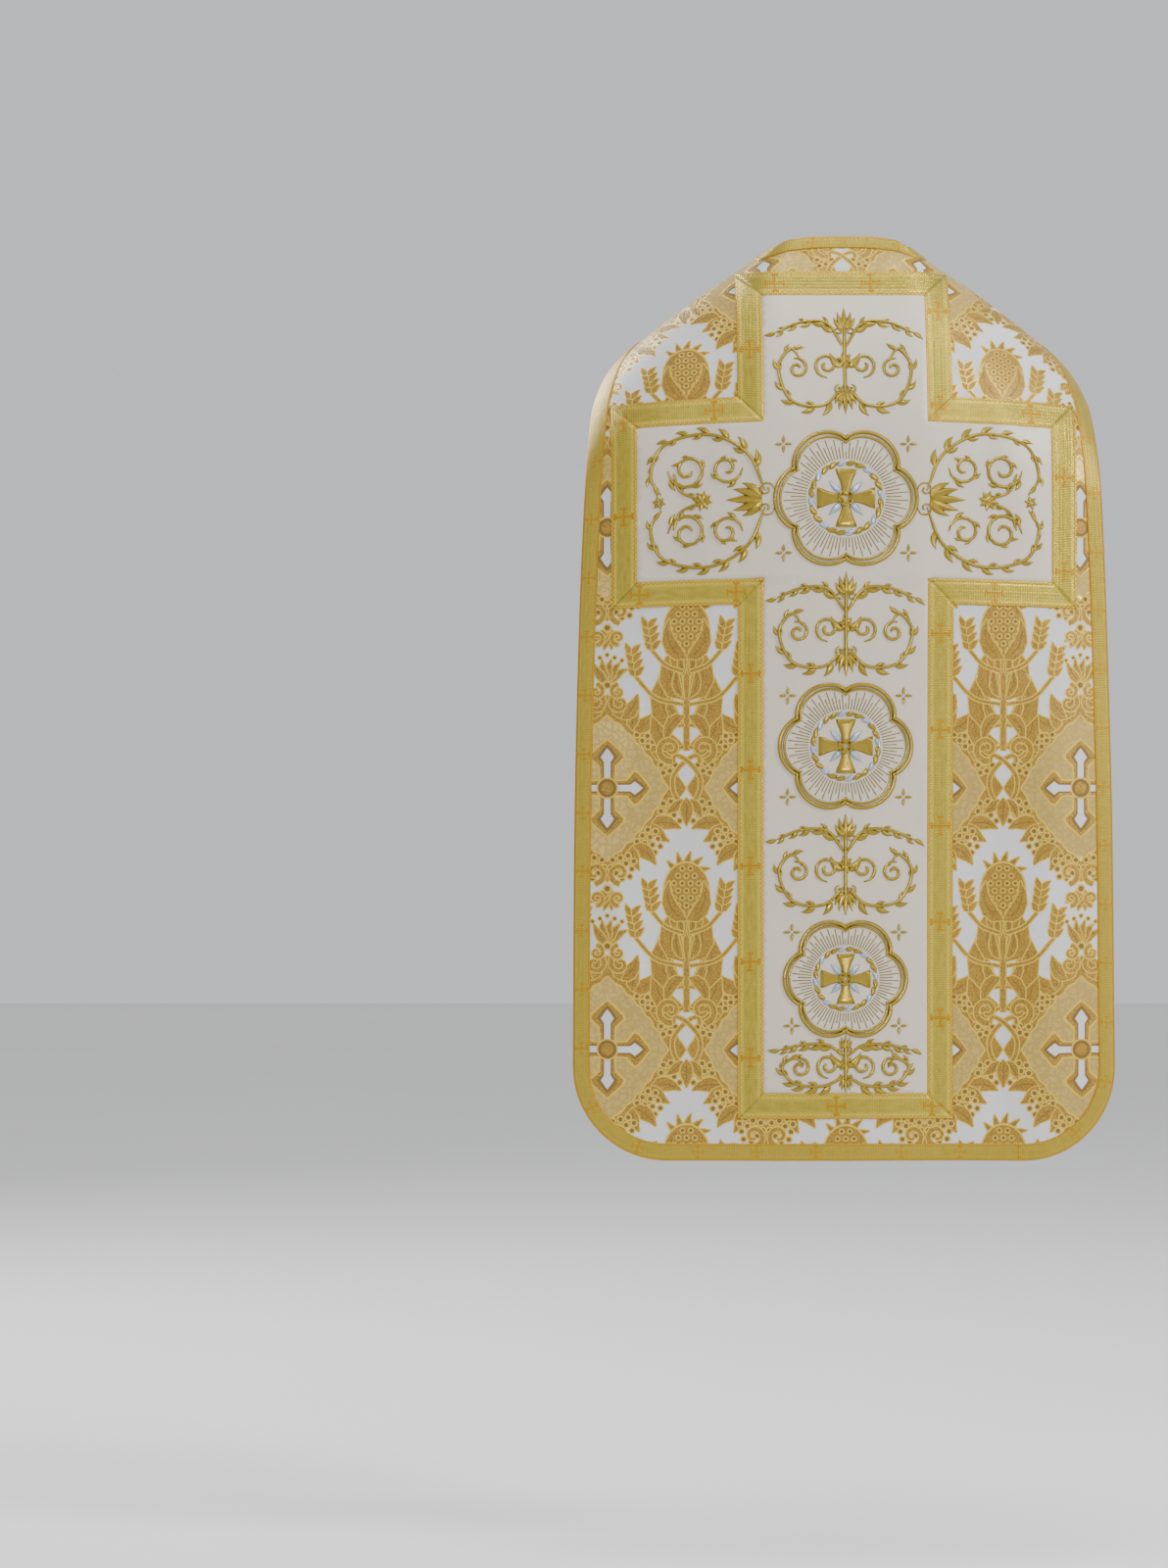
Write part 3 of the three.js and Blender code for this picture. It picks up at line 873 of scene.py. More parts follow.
class Tree:
    """Builds the nodes of a material or a node group."""

    def __init__(self, tree: bpy.types.NodeTree) -> None:
        """Starts on an emptied tree."""
        self.tree = tree
        tree.nodes.clear()

    def node(
        self, kind: str, values: dict[str | int, object] | None = None, **settings: object
    ) -> bpy.types.Node:
        """Adds a node.

        Args:
            kind: its type.
            values: what goes into its inputs, a value or another node's output for each.
            settings: its own properties.

        Returns:
            The node.
        """
        made = self.tree.nodes.new(kind)
        for name, value in settings.items():
            setattr(made, name, value)
        for name, value in (values or {}).items():
            if isinstance(value, Socket):
                self.tree.links.new(value, made.inputs[name])
            elif value is not None:
                made.inputs[name].default_value = value
        return made

    def math(self, operation: str, *values: object) -> Socket:
        """Returns the result of a sum on numbers or outputs."""
        return self.node("ShaderNodeMath", dict(enumerate(values)), operation=operation).outputs[0]

    def mix(self, share: object, first: object, second: object) -> Socket:
        """Returns a colour between two."""
        made = self.node("ShaderNodeMix", data_type="RGBA")
        for socket, value in zip((made.inputs[0], made.inputs[6], made.inputs[7]), (share, first, second)):
            if isinstance(value, Socket):
                self.tree.links.new(value, socket)
            else:
                socket.default_value = value
        return made.outputs[2]

    def ramp(
        self, value: object, low: float, high: float, start: float = 0.0, end: float = 1.0
    ) -> Socket:
        """Returns a value carried smoothly from one range to another, and held past its ends."""
        return self.node("ShaderNodeMapRange", {0: value, 1: low, 2: high, 3: start, 4: end},
                         interpolation_type="SMOOTHSTEP").outputs[0]

    def flat(self) -> tuple[Socket, Socket]:
        """Returns the two flat coordinates, in millimetres."""
        place = self.node("ShaderNodeUVMap", uv_map="flat").outputs[0]
        u, v, _ = self.node("ShaderNodeSeparateXYZ", {0: place}).outputs
        return self.math("MULTIPLY", u, 1000.0), self.math("MULTIPLY", v, 1000.0)

    def vector(self, x: object, y: object, z: object = 0.0) -> Socket:
        """Returns a vector of three numbers or outputs."""
        return self.node("ShaderNodeCombineXYZ", {0: x, 1: y, 2: z}).outputs[0]

    def noise(self, where: Socket, scale: float, detail: float = 2.0) -> Socket:
        """Returns a soft noise from 0 to 1."""
        return self.node("ShaderNodeTexNoise", {"Vector": where, "Scale": scale, "Detail": detail}).outputs[0]

    def wave(self, value: object, period: float, shift: float = 0.0) -> Socket:
        """Returns a sine from -1 to 1 along a coordinate."""
        return self.math("SINE", self.math("MULTIPLY_ADD", value, 2 * math.pi / period, shift))


def group(
    name: str, inputs: dict[str, float], outputs: Sequence[str], build: Callable[[Tree, Sockets], Sockets]
) -> bpy.types.NodeTree:
    """Makes a shader node group with named numbers in and out.

    Args:
        name: the group's name.
        inputs: its inputs and their usual values.
        outputs: its outputs' names.
        build: adds the nodes and returns what feeds each output.

    Returns:
        The group.
    """
    made = bpy.data.node_groups.new(name, "ShaderNodeTree")
    tree = Tree(made)
    for label, value in inputs.items():
        socket = made.interface.new_socket(name=label, in_out="INPUT", socket_type="NodeSocketFloat")
        socket.default_value = value
    for label in outputs:
        made.interface.new_socket(name=label, in_out="OUTPUT", socket_type="NodeSocketFloat")
    entry = tree.node("NodeGroupInput")
    tree.node("NodeGroupOutput", build(tree, {label: entry.outputs[label] for label in inputs}))
    return made


def build_threads(tree: Tree, put: Sockets) -> Sockets:
    """Builds woven threads: long floats of uneven tone along the warp, broad patches of painted sheen and shade that
    stand for the satin's play of light, and a fine ribbed height.
    """
    u, v = tree.flat()
    stretched = tree.vector(tree.math("DIVIDE", u, put["Pitch"]), tree.math("DIVIDE", v, put["Float"]))
    tone = tree.noise(stretched, 1.0, 3.0)
    # Painted sheen: a broad soft noise that darkens the satin in wide patches, standing in for how light plays over
    # it.
    painted_sheen = tree.noise(tree.vector(u, tree.math("MULTIPLY", v, 0.35)), 0.03, 2.0)
    across = tree.math("SINE", tree.math("DIVIDE", tree.math("MULTIPLY", u, 2 * math.pi), put["Pitch"]))
    along = tree.math("SINE", tree.math("DIVIDE", tree.math("MULTIPLY", v, 2 * math.pi), put["Float"]))
    height = tree.math("ADD", tree.math("MULTIPLY", across, 0.3), tree.math("MULTIPLY", along, 0.12))
    height = tree.math("ADD", height, tree.math("MULTIPLY", tone, 0.7))
    return {"Tone": tone, "Broad": painted_sheen, "Height": height}


def build_curls(tree: Tree, put: Sockets) -> Sockets:
    """Builds the small curled floats that fill a metallic figure: a mask of dark loops and their height."""
    u, v = tree.flat()
    where = tree.vector(u, v)
    bend = tree.node("ShaderNodeTexNoise", {"Vector": where, "Scale": 0.16, "Detail": 1.0}).outputs[1]
    moved = tree.node("ShaderNodeVectorMath", {0: where, 1: tree.node(
        "ShaderNodeVectorMath", {0: bend, 3: 9.0}, operation="SCALE").outputs[0]}, operation="ADD").outputs[0]
    scale = tree.math("DIVIDE", 1.0, put["Size"])
    cells = tree.node("ShaderNodeTexVoronoi", {"Vector": moved, "Scale": scale},
                      feature="DISTANCE_TO_EDGE").outputs[0]
    loops = tree.ramp(cells, 0.04, 0.22, 1.0, 0.0)
    fine = tree.noise(where, 1.4, 1.0)
    mask = tree.math("MULTIPLY", loops, tree.ramp(fine, 0.3, 0.55))
    return {"Mask": mask, "Height": tree.math("SUBTRACT", fine, tree.math("MULTIPLY", loops, 0.5))}


def build_galloon(tree: Tree, put: Sockets) -> Sockets:
    """Builds a metal galloon: honeycomb weave, toothed scalloped edges and a middle row of small crosses."""
    along, across = tree.flat()
    side = tree.math("ABSOLUTE", across)
    edge = tree.math("SUBTRACT", put["Half"], side)
    scallop = tree.math("MULTIPLY", tree.math("ABSOLUTE", tree.wave(along, 11.4)), put["Tooth"])
    line = tree.math("ABSOLUTE", tree.math("SUBTRACT", edge, tree.math("ADD", scallop, 1.2)))
    teeth = tree.ramp(line, 0.55, 0.95, 1.0, 0.0)
    rim = tree.ramp(edge, 0.35, 0.7, 1.0, 0.0)
    where = tree.math("ABSOLUTE", tree.math("SUBTRACT", tree.math("FLOORED_MODULO", along, put["Repeat"]),
                                            tree.math("MULTIPLY", put["Repeat"], 0.5)))
    size = put["Cross"]
    low = tree.math("MULTIPLY", size, 0.125)

    def bar(a: Socket, b: Socket) -> Socket:
        """Returns one bar of the cross with a foot at its ends."""
        thin = tree.math("MULTIPLY", tree.math("LESS_THAN", a, low), tree.math("LESS_THAN", b, size))
        off = tree.math("ABSOLUTE", tree.math("SUBTRACT", b, tree.math("MULTIPLY", size, 0.86)))
        foot = tree.math("MULTIPLY", tree.math("LESS_THAN", off, low),
                         tree.math("LESS_THAN", a, tree.math("MULTIPLY", size, 0.34)))
        return tree.math("MAXIMUM", thin, foot)

    cross = tree.math("MAXIMUM", bar(side, where), bar(where, side))
    orange = tree.math("MAXIMUM", tree.math("MAXIMUM", teeth, rim), cross)
    slope = tree.math("MULTIPLY", along, 0.577)
    comb = tree.math("MULTIPLY", tree.wave(tree.math("ADD", across, slope), 2.4),
                     tree.wave(tree.math("SUBTRACT", across, slope), 2.4))
    tone = tree.noise(tree.vector(tree.math("MULTIPLY", along, 0.35), across), 0.22, 4.0)
    share = tree.math("DIVIDE", side, put["Half"])
    middle = tree.math(
        "MULTIPLY", tree.ramp(share, 0.42, 0.66, 1.0, 0.0), tree.ramp(tone, 0.25, 0.75, 0.55, 1.0))
    height = tree.math(
        "ADD", tree.math("MULTIPLY", comb, 0.6), tree.math("MULTIPLY", tree.wave(across, 0.7), 0.15))
    return {"Orange": orange, "Comb": tree.ramp(comb, -0.6, 0.7), "Tone": tone, "Middle": middle,
            "Height": tree.math("ADD", height, tree.math("MULTIPLY", orange, 0.5))}


def build_twist(tree: Tree, put: Sockets) -> Sockets:
    """Builds the slanted turns of a metal cord or of laid stitches, with painted shade darkening the grooves between
    the turns.
    """
    along, across = tree.flat()
    slant = tree.math("ADD", along, tree.math("MULTIPLY", across, put["Slant"]))
    turns = tree.math("SINE", tree.math("DIVIDE", tree.math("MULTIPLY", slant, 2 * math.pi), put["Pitch"]))
    glint = tree.noise(tree.vector(slant, across), 0.6, 2.0)
    # Painted shade: the colour darkens in the grooves between the turns, where shadow falls.
    return {"Groove": tree.ramp(turns, -0.9, 0.2, 1.0, 0.0), "Glint": glint, "Height": turns}


@dataclass(frozen=True)
class Finish:
    """One thread or cloth finish.

    It mixes a light and a dark colour by its pattern's masks, and takes its bump from the pattern's height.
    """

    name: str
    colour: Colour
    dark: Colour
    pattern: str
    values: tuple[tuple[str, float], ...]
    masks: tuple[tuple[str, float], ...]
    roughness: float
    metallic: float = 0.0
    sheen: float = 0.0
    bump: float = 0.25
    accent: Colour | None = None
    accent_mask: str = ""

    def make(self, groups: dict[str, bpy.types.NodeTree]) -> Material:
        """Makes the material.

        Args:
            groups: the pattern groups by name.

        Returns:
            The material.
        """
        material = bpy.data.materials.new(self.name)
        material.use_nodes = True
        tree = Tree(material.node_tree)
        pattern = tree.node("ShaderNodeGroup", node_tree=groups[self.pattern])
        for label, value in self.values:
            pattern.inputs[label].default_value = value
        colour: object = (*self.colour, 1)
        for label, share in self.masks:
            colour = tree.mix(tree.math("MULTIPLY", pattern.outputs[label], share), colour, (*self.dark, 1))
        first = pattern.outputs[self.masks[0][0]]
        rough = tree.ramp(first, 0.0, 1.0, self.roughness - 0.06, self.roughness + 0.08)
        if self.accent:
            colour = tree.mix(pattern.outputs[self.accent_mask], colour, (*self.accent, 1))
        bump = tree.node("ShaderNodeBump", {"Height": pattern.outputs["Height"], "Strength": self.bump,
                                            "Distance": 0.0004})
        shader = tree.node("ShaderNodeBsdfPrincipled", {
            "Base Color": colour, "Roughness": rough, "Metallic": self.metallic, "Sheen Weight": self.sheen,
            "Sheen Roughness": 0.4, "Normal": bump.outputs[0]})
        tree.node("ShaderNodeOutputMaterial", {0: shader.outputs[0]})
        material.diffuse_color = (*self.colour, 1)
        return material


THREADS = (("Pitch", 0.6), ("Float", 6.0))
FINISHES = (
    # The satins' second mask paints broad patches of sheen and shade, standing in for their play of light.
    Finish("white_satin", (0.68, 0.67, 0.66), (0.43, 0.42, 0.42), "threads", THREADS,
           (("Tone", 0.35), ("Broad", 0.4)), 0.36, sheen=0.15, bump=0.15),
    Finish("beige_field", (0.53, 0.37, 0.10), (0.30, 0.19, 0.035), "curls", (("Size", 9.0),),
           (("Mask", 0.55),), 0.36, 0.35, bump=0.25),
    Finish("figure_gold", (0.43, 0.25, 0.024), (0.14, 0.07, 0.006), "curls", (("Size", 2.7),),
           (("Mask", 0.8),), 0.42, 0.3, bump=0.45),
    Finish("figure_shade", (0.22, 0.125, 0.02), (0.12, 0.065, 0.01), "threads",
           (("Pitch", 0.8), ("Float", 2.0)), (("Tone", 0.5),), 0.45, 0.3, bump=0.3),
    Finish("figure_edge", (0.72, 0.49, 0.06), (0.45, 0.29, 0.03), "threads", (("Pitch", 0.5), ("Float", 1.2)),
           (("Tone", 0.5),), 0.34, 0.4, bump=0.3),
    Finish("ivory_satin", (0.67, 0.61, 0.49), (0.44, 0.39, 0.29), "threads", (("Pitch", 0.5), ("Float", 8.0)),
           (("Tone", 0.35), ("Broad", 0.35)), 0.42, sheen=0.2, bump=0.12),
    Finish("lining_satin", (0.52, 0.52, 0.50), (0.38, 0.38, 0.37), "threads",
           (("Pitch", 0.6), ("Float", 9.0)), (("Tone", 0.3), ("Broad", 0.2)), 0.4, sheen=0.1, bump=0.08),
    Finish("galloon_gold", (0.70, 0.54, 0.06), (0.15, 0.11, 0.004), "galloon",
           (("Half", 15.75), ("Repeat", 117.0), ("Cross", 12.0), ("Tooth", 2.2)),
           (("Comb", 0.45), ("Tone", 0.2), ("Middle", 0.5)), 0.30, 0.6, bump=0.7, accent=(0.41, 0.205, 0.0),
           accent_mask="Orange"),
    Finish("edge_gold", (0.56, 0.41, 0.035), (0.18, 0.12, 0.006), "galloon",
           (("Half", 10.0), ("Repeat", 72.0), ("Cross", 7.5), ("Tooth", 0.5)),
           (("Comb", 0.5), ("Tone", 0.35), ("Middle", 0.15)), 0.36, 0.5, bump=0.5, accent=(0.41, 0.215, 0.0),
           accent_mask="Orange"),
    # The cords' and threads' first mask paints shade into the grooves between their turns.
    Finish("gold_cord", (0.58, 0.41, 0.05), (0.06, 0.035, 0.001), "twist", (("Pitch", 1.6), ("Slant", 1.0)),
           (("Groove", 0.6), ("Glint", 0.4)), 0.28, 0.7, bump=0.6),
    Finish("fine_thread", (0.28, 0.18, 0.03), (0.13, 0.08, 0.01), "twist", (("Pitch", 2.4), ("Slant", 0.2)),
           (("Groove", 0.3), ("Glint", 0.4)), 0.4, 0.35, bump=0.3),
    Finish("silver_thread", (0.50, 0.55, 0.68), (0.20, 0.24, 0.36), "twist", (("Pitch", 1.4), ("Slant", 1.0)),
           (("Groove", 0.5), ("Glint", 0.3)), 0.3, 0.6, bump=0.5),
)


def make_finishes() -> Finishes:
    """Makes every material, by name."""
    groups = {
        "threads": group("woven_threads", dict(THREADS), ("Tone", "Broad", "Height"), build_threads),
        "curls": group("curled_floats", {"Size": 3.6}, ("Mask", "Height"), build_curls),
        "galloon": group("galloon_weave", {"Half": 15.75, "Repeat": 117.0, "Cross": 10.5, "Tooth": 2.2},
                         ("Orange", "Comb", "Tone", "Middle", "Height"), build_galloon),
        "twist": group("twisted_cord", {"Pitch": 1.6, "Slant": 1.0}, ("Groove", "Glint", "Height"),
                       build_twist),
    }
    return {finish.name: finish.make(groups) for finish in FINISHES}


@dataclass
class Brocade:
    """The patterned cloth: one repeat of its figures, and their place on the panels."""

    width: float = 193
    height: float = 319
    waist: float = -673
    lozenge_wide: float = 72
    lozenge_tall: float = 86
    lozenge_power: float = 1.22
    cross_wide: float = 54
    cross_tall: float = 61
    tree_base: float = 46
    cell: float = 8.5
    cell_gap: float = 3.0
    longest: float = 8
    shapes: list[tuple[Array, Weave]] = field(default_factory=list)

    def figure(self, path: Array, widths: Array | float, vein: bool = True) -> None:
        """Adds a leaf, stem or scroll: its bright edge, its filling and a dark vein."""
        widths = np.broadcast_to(widths, len(path))
        along, across = directions(path)
        for grow, weave in ((1.5, Weave.EDGE), (0.0, Weave.FIGURE)):
            half = across * (widths[:, None] / 2 + grow)
            foot, tip = path[:1] - along[0] * grow, path[-1:] + along[-1] * grow
            self.shapes.append((np.concatenate([path + half, tip, (path - half)[::-1], foot]), weave))
        if vein:
            part = slice(1, -1)
            half = across[part] * 0.6
            self.shapes.append((np.concatenate([path[part] + half, (path[part] - half)[::-1]]), Weave.SHADE))

    def leaf(self, foot: Pair, angle: float, length: float, width: float, bend: float = 0.25) -> None:
        """Adds a curved leaf that grows from its foot at an angle in degrees."""
        count = 4 if length < 20 else 6
        self.figure(leaf_path(foot, angle, length, bend, count), leaf_widths(count, width), length > 20)

    def berries(self, centre: Pair, angle: float, size: float, rows: Sequence[int]) -> None:
        """Adds a small bunch of round berries that hangs along an angle."""
        c, s = heading(angle)
        for row, count in enumerate(rows):
            for k in range(count):
                a, b = row * size * 1.7, (k - (count - 1) / 2) * size * 2.0
                self.berry((centre[0] + a * c - b * s, centre[1] + a * s + b * c), size)

    def berry(self, centre: Pair, size: float) -> None:
        """Adds one berry: a bright ring round a dark heart."""
        for share, sides, weave in ((1.05, 6, Weave.EDGE), (0.64, 5, Weave.SHADE)):
            t = np.arange(sides) * 2 * math.pi / sides
            self.shapes.append((circle(t) * size * share + centre, weave))

    def cross(self, centre: Pair, wide: float, tall: float) -> None:
        """Adds a plain cross with broad pointed arms and a round boss."""
        layers = (
            (((10, 0.12), (11, 0.42), (23, 0.60), (21, 0.70), (9, 0.88), (0, 1.0)), Weave.EDGE),
            (((8, 0.12), (9, 0.45), (19.5, 0.61), (18, 0.69), (7, 0.86), (0, 0.96)), Weave.FIGURE),
            (((5.5, 0.12), (6, 0.50), (12.5, 0.62), (5, 0.80), (0, 0.88)), Weave.SHADE),
            (((3.8, 0.12), (4.0, 0.52), (8, 0.62), (3, 0.74), (0, 0.80)), Weave.SATIN))
        for side, weave in layers:
            points: list[Pair] = []
            for turn in range(4):
                c, s = math.cos(turn * math.pi / 2), math.sin(turn * math.pi / 2)
                long = tall if turn % 2 else wide
                arm = [(b * long, -a) for a, b in side] + [(b * long, a) for a, b in side[-2::-1]]
                points += [(b * c - a * s + centre[0], b * s + a * c + centre[1]) for b, a in arm]
            self.shapes.append((np.array(points), weave))
        boss = circle(np.linspace(0, 2 * math.pi, 15)[:-1])
        for radius, weave in ((13.5, Weave.EDGE), (11.5, Weave.SHADE), (7.5, Weave.FIGURE)):
            self.shapes.append((boss * radius + centre, weave))

    def draw(self) -> None:
        """Draws one repeat round the waist between two lozenges, which stand on its side borders."""
        half = self.width / 2
        t = np.linspace(0, 2 * math.pi, 97)[:-1]
        power = self.lozenge_power
        round_off = (np.abs(np.cos(t)) ** power + np.abs(np.sin(t)) ** power) ** (-1 / power)
        ring = circle(t) * (self.lozenge_wide, self.lozenge_tall) * round_off[:, None]
        ripple = (1 + 0.018 * np.cos(24 * t))[:, None]
        layers = ((1.33, Weave.EDGE), (1.305, Weave.FIGURE), (1.035, Weave.EDGE), (1.0, Weave.FIELD))
        for side in (-1, 1):
            centre = (side * half, 0.0)
            for grow, weave in layers:
                self.shapes.append((ring * grow * ripple + centre, weave))
            self.cross(centre, self.cross_wide, self.cross_tall)
            for up in (-1, 1):
                for flip in (-1, 1):
                    self.garland(centre, flip, up)
        for way in (1, -1):
            self.figure(curve((way * 2, -24), (way * 15, -6), (way * 16, 14), (0, 34), (way * -14, 40),
                              (way * -16, 31), step=5), 4.0, vein=False)
            self.leaf((way * 5, -14), -90 + way * 40, 26, 11)
        self.leaf((0, -12), -90, 34, 15, 0)
        self.tree()
        self.sheaf(half)
        self.sheaf(-half)

    def garland(self, centre: Pair, flip: int, up: int) -> None:
        """Adds the leaves and berries along one side of a lozenge."""
        for k, share in enumerate((0.06, 0.22, 0.38, 0.54, 0.70, 0.86)):
            angle, power = math.radians(90 * share), self.lozenge_power
            reach = (math.sin(angle) ** power + math.cos(angle) ** power) ** (-1 / power)
            x = centre[0] + flip * self.lozenge_wide * 1.12 * reach * math.cos(angle)
            y = centre[1] + up * self.lozenge_tall * 1.12 * reach * math.sin(angle)
            out = math.degrees(math.atan2(up * math.sin(angle) * 0.8, flip * math.cos(angle)))
            if k % 2 and (up < 0 or k < 5):
                self.berries((x, y), out, 4.9, (3, 4, 3, 2) if up < 0 else (3, 3, 2))
            elif share > 0.1:
                self.leaf((x, y), out - flip * up * 40, 36, 17, 0.5 * flip * up)
                self.leaf((x, y), out + flip * up * 32, 30, 14, -0.4 * flip * up)
        tip = (centre[0] + flip * 15, centre[1] + up * 104)
        path = (spiral(tip, 13, 90, 1.1, flip) - tip) * [1, up] + tip
        self.figure(path, np.linspace(6, 2.5, len(path)), vein=False)

    def tree(self) -> None:
        """Adds the growing stem with its leaves, ears and seed head that fills the white ground."""
        base = self.tree_base
        leaves = ((4, 62, 24, 12, 1.2), (30, 78, 30, 30, 1.35), (62, 74, 27, 50, 1.1), (92, 50, 20, 66, 0.7))
        self.figure(curve((0, base), (0, base + 60), (0, base + 124), step=12), 6.5, vein=False)
        for way in (-1, 1):
            for rise, long, wide, angle, bend in leaves:
                y = base + rise
                turn = angle if way > 0 else 180 - angle
                self.leaf((way * 3, y), turn, long, wide, bend * way)
                self.leaf((way * 5, y + 3), turn + way * 10, long * 0.5, wide * 0.36, bend * way * 0.5)
            self.leaf((way * 3, base + 42), -24 if way > 0 else 204, 40, 14, -0.9 * way)
            for y, out, high in ((base + 96, 42, 26), (base + 56, 62, 34)):
                stem = curve((way * 4, y), (way * out * 0.6, y + 8), (way * out, y + high), step=6)
                self.figure(stem, 3.2, vein=False)
                for k in range(4):
                    self.leaf((way * (out + k * 1.5), y + high + k * 9), 90 - way * 38, 16, 7)
                    self.leaf((way * (out + k * 1.5), y + high + k * 9), 90 + way * 30, 16, 7)
            path = spiral((way * 20, base + 2), 16, -100, 1.15, way)
            self.figure(path, np.linspace(7, 3, len(path)), vein=False)
        self.seed_head((0, base + 148), 29, 36)

    def seed_head(self, centre: Pair, wide: float, tall: float) -> None:
        """Adds a round ribbed seed head with a crown of sepals."""
        for angle in (-62, -31, 0, 31, 62):
            self.leaf((centre[0], centre[1] + tall * 0.5), 90 - angle, 30, 9)
        ring = circle(np.linspace(0, 2 * math.pi, 25)[:-1]) * (wide, tall)
        for share, weave in ((1.0, Weave.EDGE), (0.93, Weave.FIGURE)):
            self.shapes.append((ring * share + centre, weave))
        for row in range(-3, 4):
            for k in range(-2, 3):
                spot = (centre[0] + k * 10 + (row % 2) * 5, centre[1] + row * 9)
                if ((spot[0] - centre[0]) / wide) ** 2 + ((spot[1] - centre[1]) / tall) ** 2 < 0.6:
                    self.berry(spot, 3.8)
        for way in (-1, 1):
            self.leaf((centre[0], centre[1] - tall), 90 - way * 60, 52, 18, 0.9 * way)

    def sheaf(self, x: float) -> None:
        """Adds the small tied sheaf between two lozenges of one column."""
        for y0, up in ((128.0, 1), (194.0, -1)):
            for angle in (-44, -22, 0, 22, 44):
                self.leaf((x, y0), (90 - angle) if up > 0 else (-90 + angle), 30 if up > 0 else 25, 10)
            for way in (-1, 1):
                path = spiral((x + way * 13, y0 - up * 10), 9, 90, 1.1, way)
                self.figure((path - (0, y0)) * [1, up] + (0, y0), np.linspace(4.5, 2, len(path)), vein=False)
            self.berry((x, y0 - up * 2), 6)
        for k in range(-2, 3):
            self.berry((x + k * 9, 163 - abs(k) * 3.5), 3.6)

    def repeat(self) -> Patch:
        """Returns one repeat, cut along its borders and painted with its yarns."""
        self.draw()
        half, tall = self.width / 2, self.height / 2
        corners = np.array([(-half, -tall), (half, -tall), (half, tall), (-half, tall)])
        border = segments(corners, self.longest)
        drawn: list[tuple[Array, Weave]] = []
        for ring, weave in self.shapes:
            for dx in (-self.width, 0, self.width):
                for dy in (-self.height, 0, self.height):
                    moved = ring + (dx, dy)
                    if (moved.max(0) > (-half, -tall)).all() and (moved.min(0) < (half, tall)).all():
                        drawn.append((segments(moved, self.longest), weave))
        edges = np.concatenate([border, *[e for e, _ in drawn]])
        flat, faces = triangulate(edges, self.cell, self.cell_gap)
        middle = flat[faces].mean(1)
        kept = inside(middle, border)
        faces, middle = faces[kept], middle[kept]
        finish = np.zeros(len(faces), int)
        for ring, weave in drawn:
            finish[inside(middle, ring)] = weave
        rise = np.array([WEAVE_HEIGHT[Weave(k)] for k in finish])
        total, share = np.zeros(len(flat)), np.zeros(len(flat))
        for k in range(3):
            np.add.at(total, faces[:, k], rise)
            np.add.at(share, faces[:, k], 1)
        LOG.info("brocade repeat: %d triangles", len(faces))
        return Patch(Chart.FREE, flat, faces, finish, total / np.maximum(share, 1), flat.copy())


def crest_of_cloth(x: Array) -> Array:
    """Returns the level of the back's cloth, laid flat, at which it passes over the shoulder."""
    side = np.abs(x)
    return DRAPE.crest_height(side) + DRAPE.back_turn(side) * (DRAPE.cap()[1][-1] - 1)


def back_to_reach(cloth: Array) -> Array:
    """Returns places on the back's cloth as (x, reach). Past the crest it slants over the shoulder."""
    u, v = cloth.T
    reach = crest_of_cloth(u) - v
    return np.stack([u + np.where(reach < 0, SHOULDER_SLANT * reach * np.sign(u), 0), reach], 1)


def reach_to_back(at: Array) -> Array:
    """Returns (x, reach) as places on the back's cloth."""
    x, reach = at.T
    u = x - np.where(reach < 0, SHOULDER_SLANT * reach * np.sign(x), 0)
    return np.stack([u, crest_of_cloth(u) - reach], 1)


def half_outline(inset: float, seam: float, front: bool) -> Array:
    """Returns half the outline of the front or back cloth, from its middle at one end to that at the other.

    Args:
        inset: how far inside the cut's edge it runs.
        seam: the level where it ends on the chest.
        front: whether it is the front cloth's.

    Returns:
        Points (x, reach).
    """
    side = CUT.side_line(inset)
    level = DRAPE.height(side[:, 0], side[:, 1])
    past = (side[:, 1] < 0) & (level + DRAPE.sag(side[:, 0], level) < seam)
    k = int(np.argmax(past))
    edge = float(np.interp(0.5, (0, 1), side[k - 1 : k + 1, 0]))
    across = np.linspace(edge, 0, CUT.seam_points)
    line = Chart.FRONT.to_reach(np.stack([across, np.full(CUT.seam_points, seam)], 1))
    return np.concatenate([line[::-1], side[k:]]) if front else np.concatenate([side[:k], line])


